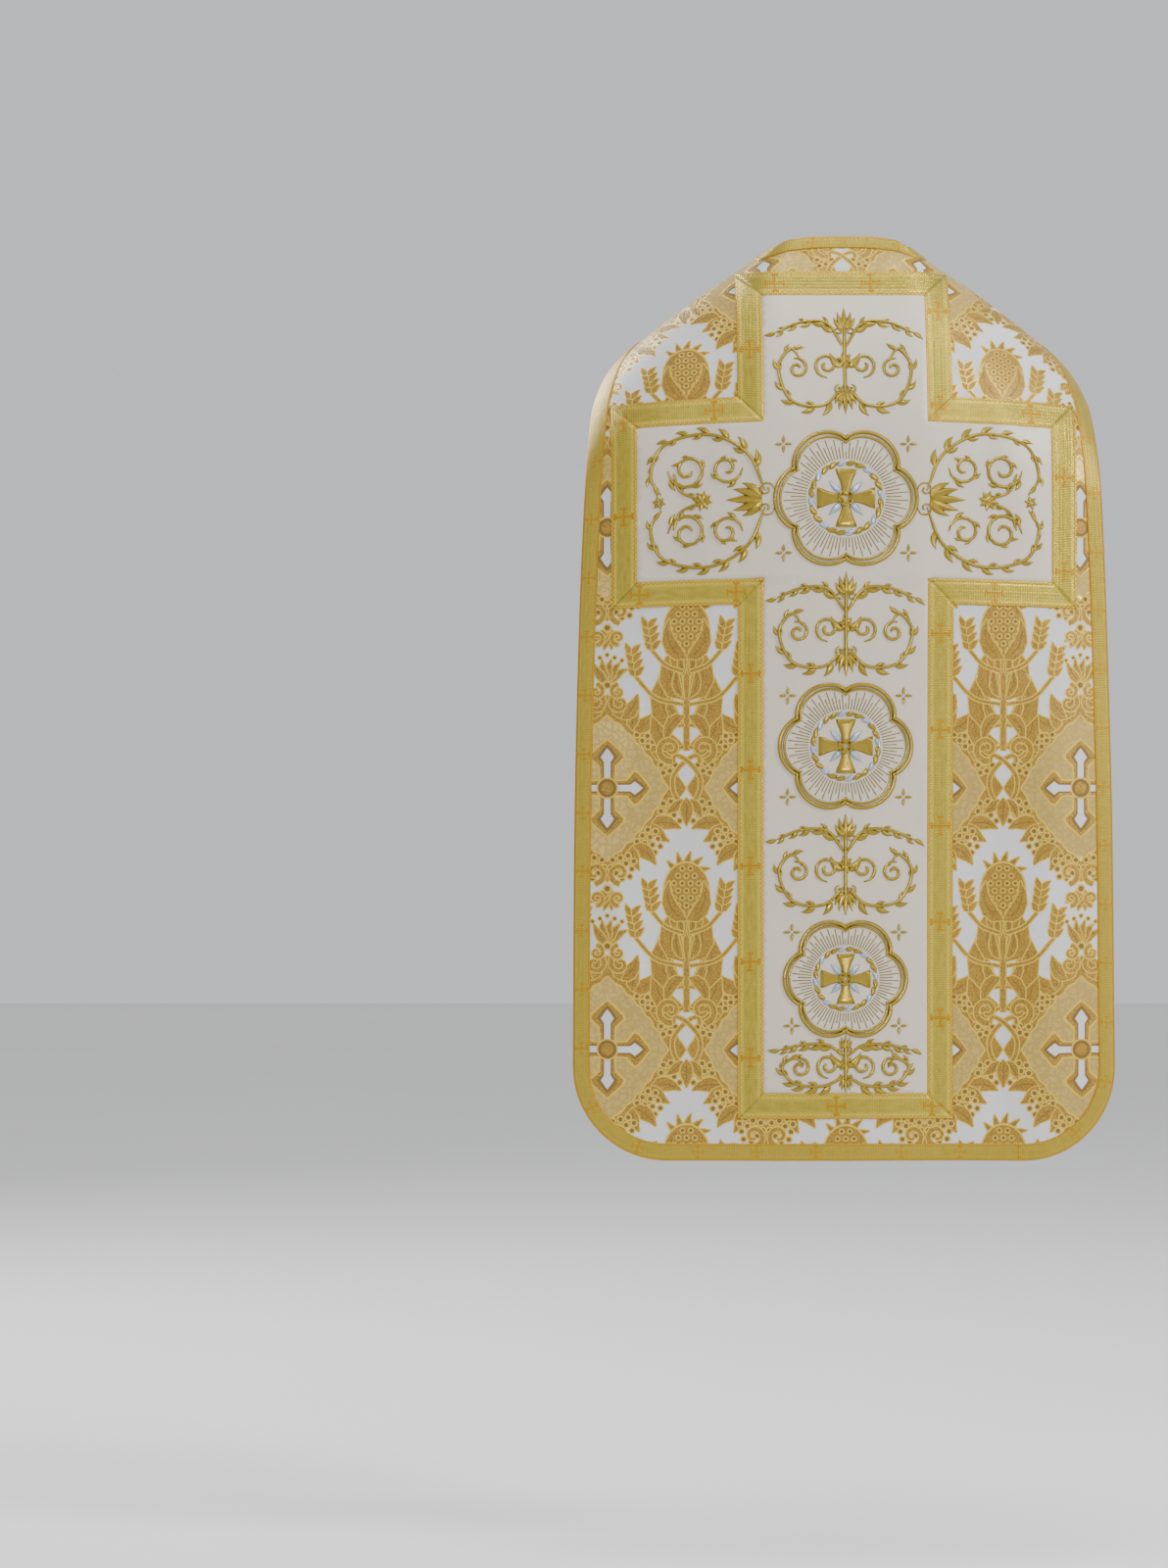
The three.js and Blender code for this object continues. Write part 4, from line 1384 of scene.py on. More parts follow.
@dataclass
class Cloth:
    """The two brocade panels and their linings."""

    wall: float = 2.0
    lining_top: float = -2.3
    lining_wall: float = 1.0
    lining_cell: float = 10.0
    cell: float = 8.0

    def patterned(
        self, name: str, chart: Chart, repeat: Patch, outline: Array, kept: Array, covered: Array,
        places: Sequence[Pair], finishes: Sequence[Material]
    ) -> Piece:
        """Makes a panel whose face carries the figures where they show.

        Args:
            name: the object's name.
            chart: BACK for the cloth that passes over the shoulders, FRONT for the other.
            repeat: one repeat of the figures.
            outline: the cut's outline, as segments.
            kept: lines within which whole repeats are laid.
            covered: lines within which they are left out.
            places: where the repeats' middles lie.
            finishes: the yarns' materials.

        Returns:
            The panel.
        """
        patches = []
        for place in places:
            cloth = repeat.points + place
            if chart is Chart.BACK:
                at = back_to_reach(cloth)
                over = (at[:, 1] < 0) & (at[:, 0] * np.sign(cloth[:, 0]) < 2)
            else:
                at, over = chart.to_reach(cloth), np.zeros(len(cloth), bool)
            shows = inside(at, kept) & ~over & ~inside(at, covered)
            faces = shows[repeat.triangles].all(1)
            same = np.sign(cloth[repeat.triangles, 0]).sum(1)
            if chart is Chart.BACK:
                faces &= (np.abs(same) == 3) | (at[repeat.triangles, 1] > 5).all(1)
            if faces.any():
                lot = repeat.triangles[faces]
                lot = lot[:, ::-1] if chart is Chart.BACK else lot
                patches.append(Patch(Chart.FREE, at, lot, repeat.finish[faces], repeat.height, cloth))
        figures = Patch.join(patches)
        rim = figures.points[figures.rim()]
        figures.height[np.unique(figures.rim())] = 0
        margin = Patch.cut(Chart.FREE, np.concatenate([outline, rim]), self.cell, 0.0)
        if chart is Chart.BACK:
            margin.uv = reach_to_back(margin.points)
        else:
            x, reach = margin.points.T
            margin.uv = np.stack([x, DRAPE.height(x, reach)], 1)
        face = Patch.join([margin, figures])
        pile = Pile()
        pile.lay(face, -self.wall, self.cell * 1.3)
        return pile.make(name, finishes)

    def lining(self, name: str, outline: Array, finish: Material) -> Piece:
        """Makes a lining a little inside the panel it backs."""
        pile = Pile()
        face = Patch.cut(Chart.FREE, outline, self.lining_cell, self.lining_top)
        pile.lay(face, self.lining_top - self.lining_wall)
        return pile.make(name, [finish])


def cross_outline(grow: float) -> Array:
    """Returns the outline of the back's cross between its galloon's edges, moved outward by a distance."""
    c, a = CUT.cross_half + grow, CUT.arm_half + grow
    head = CUT.cross_head_in + grow * 0.75
    top = CUT.arm_top_in + grow * 0.9
    low, foot = CUT.arm_foot + CUT.galloon - grow, CUT.cross_foot + CUT.galloon - grow
    half = [(0, foot), (c, foot), (c, low), (a, low), (a, top), (c, top), (c, head), (0, head)]
    return mirrored(np.array(half, float))


@dataclass
class Ornament:
    """The ivory orphreys, and the galloons laid over their edges."""

    satin_low: float = 0.35
    satin_top: float = 0.9
    satin_step: float = 6
    satin_cell: float = 6.5
    galloon_low: float = 0.4
    galloon_edge: float = 1.25
    galloon_crown: float = 1.9

    def orphrey(self, name: str, chart: Chart, ring: Array, finish: Material) -> Piece:
        """Makes a field of ivory satin."""
        pile = Pile()
        face = Patch.cut(chart, segments(ring, self.satin_step), self.satin_cell, self.satin_top)
        pile.lay(face, self.satin_low)
        return pile.make(name, [finish])

    def galloon(
        self, name: str, chart: Chart, corners: Array, closed: bool, half: float, finish: Material
    ) -> Piece:
        """Makes a galloon along straight lines, folded to a mitre at each corner.

        Args:
            name: the object's name.
            chart: how it is laid.
            corners: its middle line's corners.
            closed: whether its end meets its start.
            half: half the galloon's width.
            finish: its material.

        Returns:
            The piece.
        """
        pile = Pile()
        way = 0.0
        count = len(corners)
        for k in range(count if closed else count - 1):
            a, b = corners[k], corners[(k + 1) % count]
            before = corners[k - 1] if closed or k else None
            after = corners[(k + 2) % count] if closed or k < count - 2 else None
            long = float(np.linalg.norm(b - a))
            along = (b - a) / long
            across = np.array([-along[1], along[0]])
            start = self.mitre(before, a, along, across)
            end = -self.mitre(after, b, -along, across)
            self.stretch(pile, chart, a, along, across, long, start, end, half, way)
            way += long
        return pile.make(name, [finish])

    def mitre(self, other: Array | None, corner: Array, along: Array, across: Array) -> float:
        """Returns how far an end slants for each millimetre across, where it turns to another corner."""
        if other is None:
            return 0.0
        to = (other - corner) / np.linalg.norm(other - corner)
        fold = along + to
        if np.linalg.norm(fold) < 0.05:
            return 0.0
        return float((fold @ along) / (fold @ across))

    def stretch(
        self, pile: Pile, chart: Chart, start: Array, along: Array, across: Array, long: float, slant: float,
        end_slant: float, half: float, way: float
    ) -> None:
        """Adds one straight stretch between two mitres.

        Args:
            pile: where it is added.
            chart: how it is laid.
            start: its middle line's start.
            along: its direction.
            across: the direction across it.
            long: its length along the middle.
            slant: its start's slant.
            end_slant: its end's slant.
            half: half its width.
            way: the length before it.
        """
        off = half * np.array([-1, -0.96, -0.86, -0.62, -0.3, 0, 0.3, 0.62, 0.86, 0.96, 1])
        share = np.abs(off) / half
        crown = self.galloon_edge + (self.galloon_crown - self.galloon_edge) * (1 - share**1.6)
        crown = np.where(share > 0.99, self.galloon_edge - 0.35, crown)
        crown += np.where((share > 0.8) & (share < 0.98), 0.12, 0.0)
        count = max(3, int(long / 5.5))
        t = np.linspace(0, 1, count)[:, None]
        s = (slant * off) * (1 - t) + (long + end_slant * off) * t
        flat = start + s[..., None] * along + off[None, :, None] * across
        uv = np.stack(np.broadcast_arrays(way + s, off[None, :]), -1)
        number = np.arange(count * len(off)).reshape(count, len(off))
        faces = grid_faces(number[:-1, :-1], number[1:, :-1], number[1:, 1:], number[:-1, 1:])
        height = np.broadcast_to(crown, (count, len(off))).ravel()
        patch = Patch(chart, flat.reshape(-1, 2), faces, np.zeros(len(faces), int), height, uv.reshape(-1, 2))
        pile.lay(patch, self.galloon_low)


@dataclass
class Band:
    """A ribbed ribbon folded over an edge: wide on the face, narrow on the lining."""

    section: tuple[Pair, ...] = (
        (20.0, 0.35), (19.6, 0.95), (17.5, 1.25), (16.4, 1.05), (15.0, 1.35), (10.0, 1.5), (5.0, 1.45),
        (1.5, 1.2), (-0.5, 0.5), (-1.1, -0.9), (-1.1, -2.4), (-0.5, -3.8), (1.5, -4.3), (5.0, -4.3),
        (6.5, -3.9), (6.0, -3.45), (0.3, -3.4), (0.3, 0.3))
    crown: int = 4
    step: float = 6.0
    pucker: float = 0.22
    pucker_runs: Pair = (11.7, 83)

    def build(
        self, name: str, edge: Array, inner: Array, outward: int, finish: Material
    ) -> Piece:
        """Makes the band round a closed edge.

        Args:
            name: the object's name.
            edge: half the edge, as (x, reach).
            inner: half the line that lies a band's width into the cloth.
            outward: 1 where the edge is the cloth's outer one, -1 where it is the neck's.
            finish: its material.

        Returns:
            The band.
        """
        way = running_length(edge)
        even = np.linspace(0, way[-1], int(way[-1] / self.step))
        outer, within = (mirrored(np.stack([np.interp(even, way, line[:, k]) for k in (0, 1)], 1))
                         for line in (edge, inner))
        share = np.array([k / CUT.band for k, _ in self.section])
        at = outer[:, None] + (within - outer)[:, None] * share[:, None]
        rows = len(at)
        place = DRAPE.on(at[..., 0], at[..., 1], 0.0)[:, self.crown]
        way = running_length(np.concatenate([place, place[:1]]))
        turns = way[:-1] * 2 * math.pi
        short, long = self.pucker_runs
        pucker = self.pucker * np.sin(turns / short) * np.sin(turns / long + 1)
        height = np.array([h for _, h in self.section]) + pucker[:, None] * (share > 0.2) * (share < 0.9)
        points = DRAPE.on(at[..., 0], at[..., 1], height).reshape(-1, 3)
        columns = len(self.section)
        number = np.arange((rows + 1) * columns).reshape(rows + 1, columns)
        a, b = number[:-1], number[1:]
        right, left = np.roll(a, -1, 1), np.roll(b, -1, 1)
        faces = grid_faces(a, b, left, right)
        if outward < 0:
            faces = faces[:, ::-1]
        across = np.minimum(share, 1.0) * CUT.band - CUT.band / 2
        uv = np.stack(np.broadcast_arrays(way[:, None], across[None]), -1).reshape(-1, 2)
        pile = Pile()
        pile.add(points, faces % len(points), 0, uv[faces])
        return pile.make(name, [finish])


class Thread(IntEnum):
    """The embroidery's threads."""

    CORD = 0
    FINE = 1
    SILVER = 2


@dataclass
class Embroidery:
    """Raised work in gold cord on one orphrey."""

    chart: Chart
    base: float = 0.88
    rays: int = 90
    wreath_leaves: int = 24
    pile: Pile = field(default_factory=Pile)

    def cord(self, path: Array, width: float, rise: float, taper: bool = True) -> None:
        """Lays a cord along a path, thinner towards its ends where it tapers."""
        t = np.linspace(0, 1, len(path))
        share = np.minimum(1, 0.4 + 6 * np.minimum(t, 1 - t)) if taper else np.ones(len(path))
        self.pile.sweep(self.chart, path, width * share, rise * share, self.base, Thread.CORD)

    def leaf(
        self, foot: Pair, angle: float, length: float, width: float, bend: float, thread: Thread = Thread.CORD
    ) -> None:
        """Works a padded leaf that grows from its foot at an angle in degrees."""
        path, widths = leaf_path(foot, angle, length, bend, 7), leaf_widths(7, width)
        self.pile.sweep(self.chart, path, widths, 1.6 * (widths / width) ** 0.6, self.base, thread)

    def spray(self, path: Array, size: float, count: int, side: int = 0) -> None:
        """Works pairs of leaves along a stem, smaller towards its tip."""
        for k in range(count):
            t = (k + 0.7) / count
            at = int(t * (len(path) - 2))
            step = path[at + 1] - path[at]
            angle = math.degrees(math.atan2(step[1], step[0]))
            long = size * (1.15 - 0.5 * t)
            for way in ((1, -1) if side == 0 else (side,)):
                self.leaf(tuple(path[at]), angle + way * 42, long, long * 0.4, -0.5 * way)
        end = math.degrees(math.atan2(*(path[-1] - path[-3])[::-1]))
        self.leaf(tuple(path[-1]), end, size * 0.8, size * 0.32, 0.3)

    def small_cross(self, centre: Pair, size: float) -> None:
        """Works a cross of four narrow petals."""
        for angle in (0, 90, 180, 270):
            c, s = heading(angle)
            self.leaf((centre[0] + 1.2 * c, centre[1] + 1.2 * s), angle, size, size * 0.4, 0.0)

    def blossom(self, centre: Pair, size: float, petals: int = 6) -> None:
        """Works a small flower with a silver heart."""
        for k in range(petals):
            self.leaf(centre, k * 360 / petals + 12, size, size * 0.56, 0.0)
        self.leaf((centre[0] - 2, centre[1]), 0, 4, 4, 0.0, Thread.SILVER)

    def palmette(self, centre: Pair, angle: float, size: float) -> None:
        """Works a fan of long petals with two curls at its foot."""
        for k in range(-2, 3):
            long = size * (1.0 - 0.14 * abs(k))
            self.leaf(centre, angle + k * 30, long, size * 0.25, -0.25 * k)
        c, s = heading(angle)
        for way in (-1, 1):
            at = (centre[0] - way * s * size * 0.26 - c * size * 0.12,
                  centre[1] + way * c * size * 0.26 - s * size * 0.12)
            self.cord(spiral(at, size * 0.22, angle + 180, 1.2, -way), 2.4, 1.5)

    def medallion(self, centre: Pair, radius: float) -> None:
        """Works a lobed frame with rays, a wreath and a flared cross."""
        t = np.linspace(0, 2 * math.pi, 241)
        lobe = radius * (0.84 + 0.16 * np.abs(np.cos(3 * t)) ** 0.7)
        for share, width, rise in ((1.0, 5.2, 2.4), (0.93, 3.4, 1.8)):
            self.cord(circle(t) * (lobe * share)[:, None] + centre, width, rise, False)
        for side in (-1, 1):
            for up in (-1, 1):
                self.small_cross((centre[0] + side * radius * 0.88, centre[1] + up * radius * 0.77), 10)
        for k in range(self.rays):
            angle = 2 * math.pi * (k + 0.5) / self.rays
            limit = float(np.interp(angle, t, lobe)) * (0.88 if k % 2 else 0.78)
            reach = np.linspace(radius * 0.56, limit, 4)
            path = reach[:, None] * np.array([math.cos(angle), math.sin(angle)]) + centre
            self.pile.sweep(self.chart, path, np.full(4, 1.35), np.full(4, 0.6), self.base, Thread.FINE, 3)
        for k in range(self.wreath_leaves):
            angle = k * 360 / self.wreath_leaves
            c, s = heading(angle)
            foot = (centre[0] + radius * 0.46 * c, centre[1] + radius * 0.46 * s)
            thread = Thread.SILVER if k % 3 == 2 else Thread.CORD
            self.leaf(foot, angle + 62, radius * 0.18, radius * 0.085, 0.5, thread)
        for angle in (0, 90, 180, 270):
            c, s = heading(angle)
            reach = np.linspace(radius * 0.03, radius * 0.41, 6)
            path = reach[:, None] * np.array([c, s]) + centre
            widths = radius * np.array([0.12, 0.12, 0.15, 0.20, 0.27, 0.31])
            self.pile.sweep(self.chart, path, widths, np.full(6, 1.9), self.base, Thread.CORD, 7)
            self.leaf((centre[0] + radius * 0.06 * (c - s), centre[1] + radius * 0.06 * (c + s)), angle + 45,
                      radius * 0.26, radius * 0.10, 0.0, Thread.SILVER)
        self.cord(circle(t[::10]) * radius * 0.1 + centre, 2.8, 2.8, False)

    def candelabrum(self, centre: Pair, tall: float, wide: float) -> None:
        """Works a mirrored group of scrolls and leaf sprays round an upright stem."""
        x, z = centre
        self.cord(curve((x, z - tall * 0.32), (x, z), (x, z + tall * 0.32)), 4.6, 2.1)
        for up in (1, -1):
            self.palmette((x, z + up * tall * 0.27), 90 * up, min(tall * 0.25, 28))
        for way in (-1, 1):
            low = curve((x, z - tall * 0.2), (x + way * wide * 0.3, z - tall * 0.38),
                        (x + way * wide * 0.74, z - tall * 0.34), (x + way * wide * 0.92, z - tall * 0.06),
                        (x + way * wide * 0.74, z + tall * 0.1), (x + way * wide * 0.6, z - tall * 0.01))
            self.cord(low, 4.2, 2.0)
            self.spray(low[4:-6], 19, 6, -way)
            self.spray(low[8:-12], 13, 3, way)
            start = 70 if way > 0 else 110
            curl = spiral((x + way * wide * 0.66, z - tall * 0.07), wide * 0.15, start, 1.3, way)
            self.cord(curl, 4.2, 1.9)
            arm = curve((x, z + tall * 0.1), (x + way * wide * 0.25, z + tall * 0.32),
                        (x + way * wide * 0.6, z + tall * 0.33), (x + way * wide * 0.95, z + tall * 0.24))
            self.cord(arm, 4.0, 1.9)
            self.spray(arm[4:], 19, 5, -way)
            self.spray(arm[6:], 12, 3, way)
            self.cord(spiral((x + way * wide * 0.25, z - tall * 0.04), wide * 0.18, -90, 1.4, way), 4.2, 1.9)
            self.leaf((x + way * 3, z - tall * 0.06), 90 - way * 60, 24, 10, 0.5 * way)
        self.blossom((x, z), 11)

    def branch(self, start: Pair, way: int, length: float, tall: float) -> None:
        """Works two branches that part and meet again, with scrolls, leaves and blossoms between them."""
        x, z = start
        self.palmette((x + way * 4, z), 0 if way > 0 else 180, length * 0.3)
        for up in (1, -1):
            arc = curve((x, z + up * 10),
                        (x + way * length * 0.14, z + up * tall * 0.6),
                        (x + way * length * 0.46, z + up * tall * 0.88),
                        (x + way * length * 0.84, z + up * tall * 0.76),
                        (x + way * length * 0.95, z + up * tall * 0.36),
                        (x + way * length * 0.86, z + up * 9))
            self.cord(arc, 4.4, 2.0)
            self.spray(arc[5:-5], 20, 8, up * way)
            self.spray(arc[12:-14], 15, 5, -up * way)
            middle = (x + way * length * 0.64, z + up * tall * 0.42)
            curl = spiral(middle, length * 0.165, 0 if way > 0 else 180, 1.45, -way * up)
            self.cord(curl, 4.4, 2.0)
            self.spray(curl[:13], 15, 4, way * up)
            link = curve((x + way * length * 0.76, z + up * tall * 0.38),
                         (x + way * length * 0.7, z + up * tall * 0.14),
                         (x + way * length * 0.56, z + up * 3))
            self.cord(link, 3.8, 1.8)
            self.spray(link, 14, 2, -up * way)
            middle = (x + way * length * 0.32, z + up * tall * 0.42)
            curl = spiral(middle, length * 0.135, 180 if way > 0 else 0, 1.3, way * up)
            self.cord(curl, 4.2, 1.9)
            self.spray(curl[:12], 14, 3, -way * up)
        self.blossom((x + way * length * 0.52, z), 13, 8)
        self.blossom((x + way * length * 0.88, z), 9)


@dataclass(frozen=True)
class Stitching:
    """A row of sewing stitches, laid by a node tree on points that carry the row's direction."""

    pitch: float = 4.6
    length: float = 3.1
    width: float = 0.55
    sides: int = 6
    inset: float = 16.6
    rise: float = 1.2

    def tree(self, finish: Material) -> bpy.types.NodeTree:
        """Builds the tree that lays a small rounded stitch on every point.

        Args:
            finish: the stitches' material.

        Returns:
            The tree, with inputs for a stitch's length, width and sides.
        """
        made = bpy.data.node_groups.new("row_of_stitches", "GeometryNodeTree")
        made.interface.new_socket(name="Places", in_out="INPUT", socket_type="NodeSocketGeometry")
        for label, value in (("Stitch Length", self.length), ("Stitch Width", self.width)):
            socket = made.interface.new_socket(name=label, in_out="INPUT", socket_type="NodeSocketFloat")
            socket.default_value = value * MM
        socket = made.interface.new_socket(name="Sides", in_out="INPUT", socket_type="NodeSocketInt")
        socket.default_value = self.sides
        made.interface.new_socket(name="Stitches", in_out="OUTPUT", socket_type="NodeSocketGeometry")
        tree = Tree(made)
        entry = tree.node("NodeGroupInput")
        ball = tree.node("GeometryNodeMeshUVSphere", {
            "Segments": entry.outputs["Sides"], "Rings": 4, "Radius": 0.5})
        long, wide = entry.outputs["Stitch Length"], entry.outputs["Stitch Width"]
        shaped = tree.node("GeometryNodeTransform", {
            "Geometry": ball.outputs["Mesh"], "Scale": tree.vector(long, wide, wide)})
        run, lie = (tree.node("GeometryNodeInputNamedAttribute", {"Name": label}, data_type="FLOAT_VECTOR")
                    for label in ("run", "lie"))
        first = tree.node("FunctionNodeAlignRotationToVector", {"Vector": run.outputs[0]}, axis="X")
        second = tree.node(
            "FunctionNodeAlignRotationToVector", {"Rotation": first.outputs[0], "Vector": lie.outputs[0]},
            axis="Z", pivot_axis="X")
        spread = tree.node("GeometryNodeInstanceOnPoints", {
            "Points": entry.outputs["Places"], "Instance": shaped.outputs[0], "Rotation": second.outputs[0]})
        whole = tree.node("GeometryNodeRealizeInstances", {0: spread.outputs[0]})
        painted = tree.node("GeometryNodeSetMaterial", {"Geometry": whole.outputs[0], "Material": finish})
        tree.node("NodeGroupOutput", {0: painted.outputs[0]})
        return made

    def row(self, name: str, lines: Sequence[Array], finish: Material) -> Piece:
        """Makes stitches along closed or open lines of (x, reach).

        Args:
            name: the object's name.
            lines: the rows.
            finish: their material.

        Returns:
            The stitches as one plain mesh.
        """
        spots, runs, lies = [], [], []
        for line in lines:
            way = running_length(DRAPE.on(line[:, 0], line[:, 1], self.rise))
            even = np.arange(self.pitch / 2, way[-1], self.pitch)
            at = np.stack([np.interp(even, way, line[:, k]) for k in (0, 1)], 1)
            spot = DRAPE.on(at[:, 0], at[:, 1], self.rise)
            spots.append(spot)
            lies.append(DRAPE.on(at[:, 0], at[:, 1], self.rise + 1) - spot)
            runs.append(np.gradient(spot, axis=0))
        mesh = bpy.data.meshes.new(name + "_places")
        mesh.from_pydata((np.concatenate(spots) * MM).tolist(), [], [])
        for label, values in (("run", runs), ("lie", lies)):
            flat = np.concatenate(values).astype(np.float32)
            mesh.attributes.new(label, "FLOAT_VECTOR", "POINT").data.foreach_set("vector", flat.ravel())
        places = bpy.data.objects.new(name + "_places", mesh)
        bpy.context.scene.collection.objects.link(places)
        group_tree = self.tree(finish)
        modifier = places.modifiers.new("stitches", "NODES")
        modifier.node_group = group_tree
        inputs = [item for item in group_tree.interface.items_tree if item.in_out == "INPUT"]
        sockets = {item.name: item.identifier for item in inputs}
        modifier[sockets["Stitch Length"]] = self.length * MM
        modifier[sockets["Stitch Width"]] = self.width * MM
        modifier[sockets["Sides"]] = self.sides
        graph = bpy.context.evaluated_depsgraph_get()
        done = bpy.data.meshes.new_from_object(places.evaluated_get(graph), depsgraph=graph)
        bpy.data.objects.remove(places)
        piece = bpy.data.objects.new(name, done)
        done.name = name
        bpy.context.scene.collection.objects.link(piece)
        LOG.info("%s: %d faces", name, len(done.polygons))
        return piece


@dataclass
class Studio:
    """The floor, the light and the camera."""

    aside: float = 0.318
    eye: float = -0.668
    distance: float = 5.5
    near: float = 0.14
    frame: float = 1.904
    floor: float = -1.62
    floor_half: float = 14.0
    sky: float = 0.72

    def build(self) -> None:
        """Makes them all."""
        self.backdrop()
        for name, place, size, power in (
            ("key_light", (-3.2, 1.9, 1.5), 1.0, 165), ("fill_light", (2.6, 3.2, 0.2), 2.4, 30),
            ("top_light", (0.0, 0.4, 2.6), 1.4, 60), ("front_light", (2.4, -2.8, 1.4), 1.4, 120)):
            light = bpy.data.lights.new(name, "AREA")
            light.shape, light.size, light.energy = "SQUARE", size, power
            lamp = bpy.data.objects.new(name, light)
            lamp.location = place
            lamp.rotation_euler = (Vector((0, 0, -0.55)) - Vector(place)).to_track_quat("-Z", "Y").to_euler()
            bpy.context.scene.collection.objects.link(lamp)
        world = bpy.data.worlds.new("studio")
        world.use_nodes = True
        sky = world.node_tree.nodes["Background"]
        sky.inputs[0].default_value = (0.96, 0.97, 1.0, 1)
        sky.inputs[1].default_value = self.sky
        bpy.context.scene.world = world
        data = bpy.data.cameras.new("camera")
        data.sensor_fit, data.sensor_height = "VERTICAL", 24.0
        data.lens = self.distance * data.sensor_height / self.frame
        camera = bpy.data.objects.new("camera", data)
        camera.location = (self.aside, self.near + self.distance, self.eye)
        camera.rotation_euler = (math.pi / 2, 0, math.pi)
        bpy.context.scene.collection.objects.link(camera)
        bpy.context.scene.camera = camera

    def backdrop(self) -> None:
        """Makes a plain pale floor."""
        mesh = bpy.data.meshes.new("studio_floor")
        side = self.floor_half
        mesh.from_pydata([(-side, -side, self.floor), (side, -side, self.floor), (side, side, self.floor),
                          (-side, side, self.floor)], [], [(0, 1, 2, 3)])
        material = bpy.data.materials.new("pale_floor")
        material.use_nodes = True
        tree = Tree(material.node_tree)
        where = tree.node("ShaderNodeTexCoord").outputs["Object"]
        tone = tree.mix(tree.noise(where, 1.5), (0.80, 0.80, 0.79, 1), (0.84, 0.84, 0.83, 1))
        shader = tree.node("ShaderNodeBsdfPrincipled", {"Base Color": tone, "Roughness": 0.85})
        tree.node("ShaderNodeOutputMaterial", {0: shader.outputs[0]})
        mesh.materials.append(material)
        ground = bpy.data.objects.new("studio_floor", mesh)
        bpy.context.scene.collection.objects.link(ground)
        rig.stage(ground)


def hand_over(piece: Piece, slot: str, *nodes: str) -> Piece:
    """Puts a finished piece on the body, names its slot and the solids that it stands for."""
    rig.ride(piece, "root")
    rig.slot(piece, slot)
    if nodes:
        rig.replaces(piece, *nodes)
    return piece


def panel_edges(front: bool, inset: float, neck_inset: float, seam: float, step: float = 7.0) -> Array:
    """Returns the edges of a panel, or lines inside them.

    Args:
        front: whether it is the front panel, which has no neck opening.
        inset: how far inside the outer edge they run.
        neck_inset: how far from the neck edge.
        seam: the level where they end on the chest.
        step: the longest segment.

    Returns:
        The lines as segments.
    """
    outer = segments(mirrored(half_outline(inset, seam, front)), step)
    return outer if front else np.concatenate([outer, segments(mirrored(CUT.neck_line(neck_inset)), step)])


def box(half: float, head: float, foot: float) -> Array:
    """Returns the corners of an upright box about the middle line."""
    return np.array([(-half, head), (half, head), (half, foot), (-half, foot)], float)


def build_cloth(finishes: Finishes) -> Pieces:
    """Makes the panels and linings.

    Args:
        finishes: the materials by name.

    Returns:
        The pieces by name.
    """
    cloth, brocade = Cloth(), Brocade()
    repeat = brocade.repeat()
    names = ("white_satin", "beige_field", "figure_gold", "figure_shade", "figure_edge")
    yarns = [finishes[name] for name in names]
    satin = finishes["lining_satin"]
    edge_in, lap, under_galloon, seam_gap = 11.0, 9.0, 22.0, 0.15
    lining_in, lining_gap, lining_step = 0.6, 0.4, 9.0
    places = [
        (i * brocade.width, brocade.waist + j * brocade.height) for i in range(-3, 4) for j in range(-2, 4)]
    cover = segments(cross_outline(under_galloon))[:, 0]
    back = cloth.patterned(
        "back_panel_brocade", Chart.BACK, repeat,
        outline=panel_edges(False, 0, 0, CUT.seam + seam_gap),
        kept=panel_edges(False, edge_in, lap, CUT.seam + lap),
        covered=segments(Chart.BACK.to_reach(cover), 9), places=places, finishes=yarns)
    column = CUT.column_half + CUT.galloon - lap
    cover = segments(box(column, CUT.column_head + 1, -1000.0))[:, 0]
    front = cloth.patterned(
        "front_panel_brocade", Chart.FRONT, repeat,
        outline=panel_edges(True, 0, 0, CUT.seam - seam_gap),
        kept=panel_edges(True, edge_in, lap, CUT.seam - lap),
        covered=segments(Chart.FRONT.to_reach(cover), 9), places=places, finishes=yarns)
    back_edges = panel_edges(False, lining_in, lining_in, CUT.seam + lining_gap, lining_step)
    front_edges = panel_edges(True, lining_in, lining_in, CUT.seam - lining_gap, lining_step)
    back_lining = cloth.lining("back_lining_satin", back_edges, satin)
    front_lining = cloth.lining("front_lining_satin", front_edges, satin)
    return {
        "back": hand_over(back, "brocade", "back_panel"),
        "front": hand_over(front, "brocade", "front_panel"),
        "back_lining": hand_over(back_lining, "lining", "back_lining"),
        "front_lining": hand_over(front_lining, "lining", "front_lining"),
    }


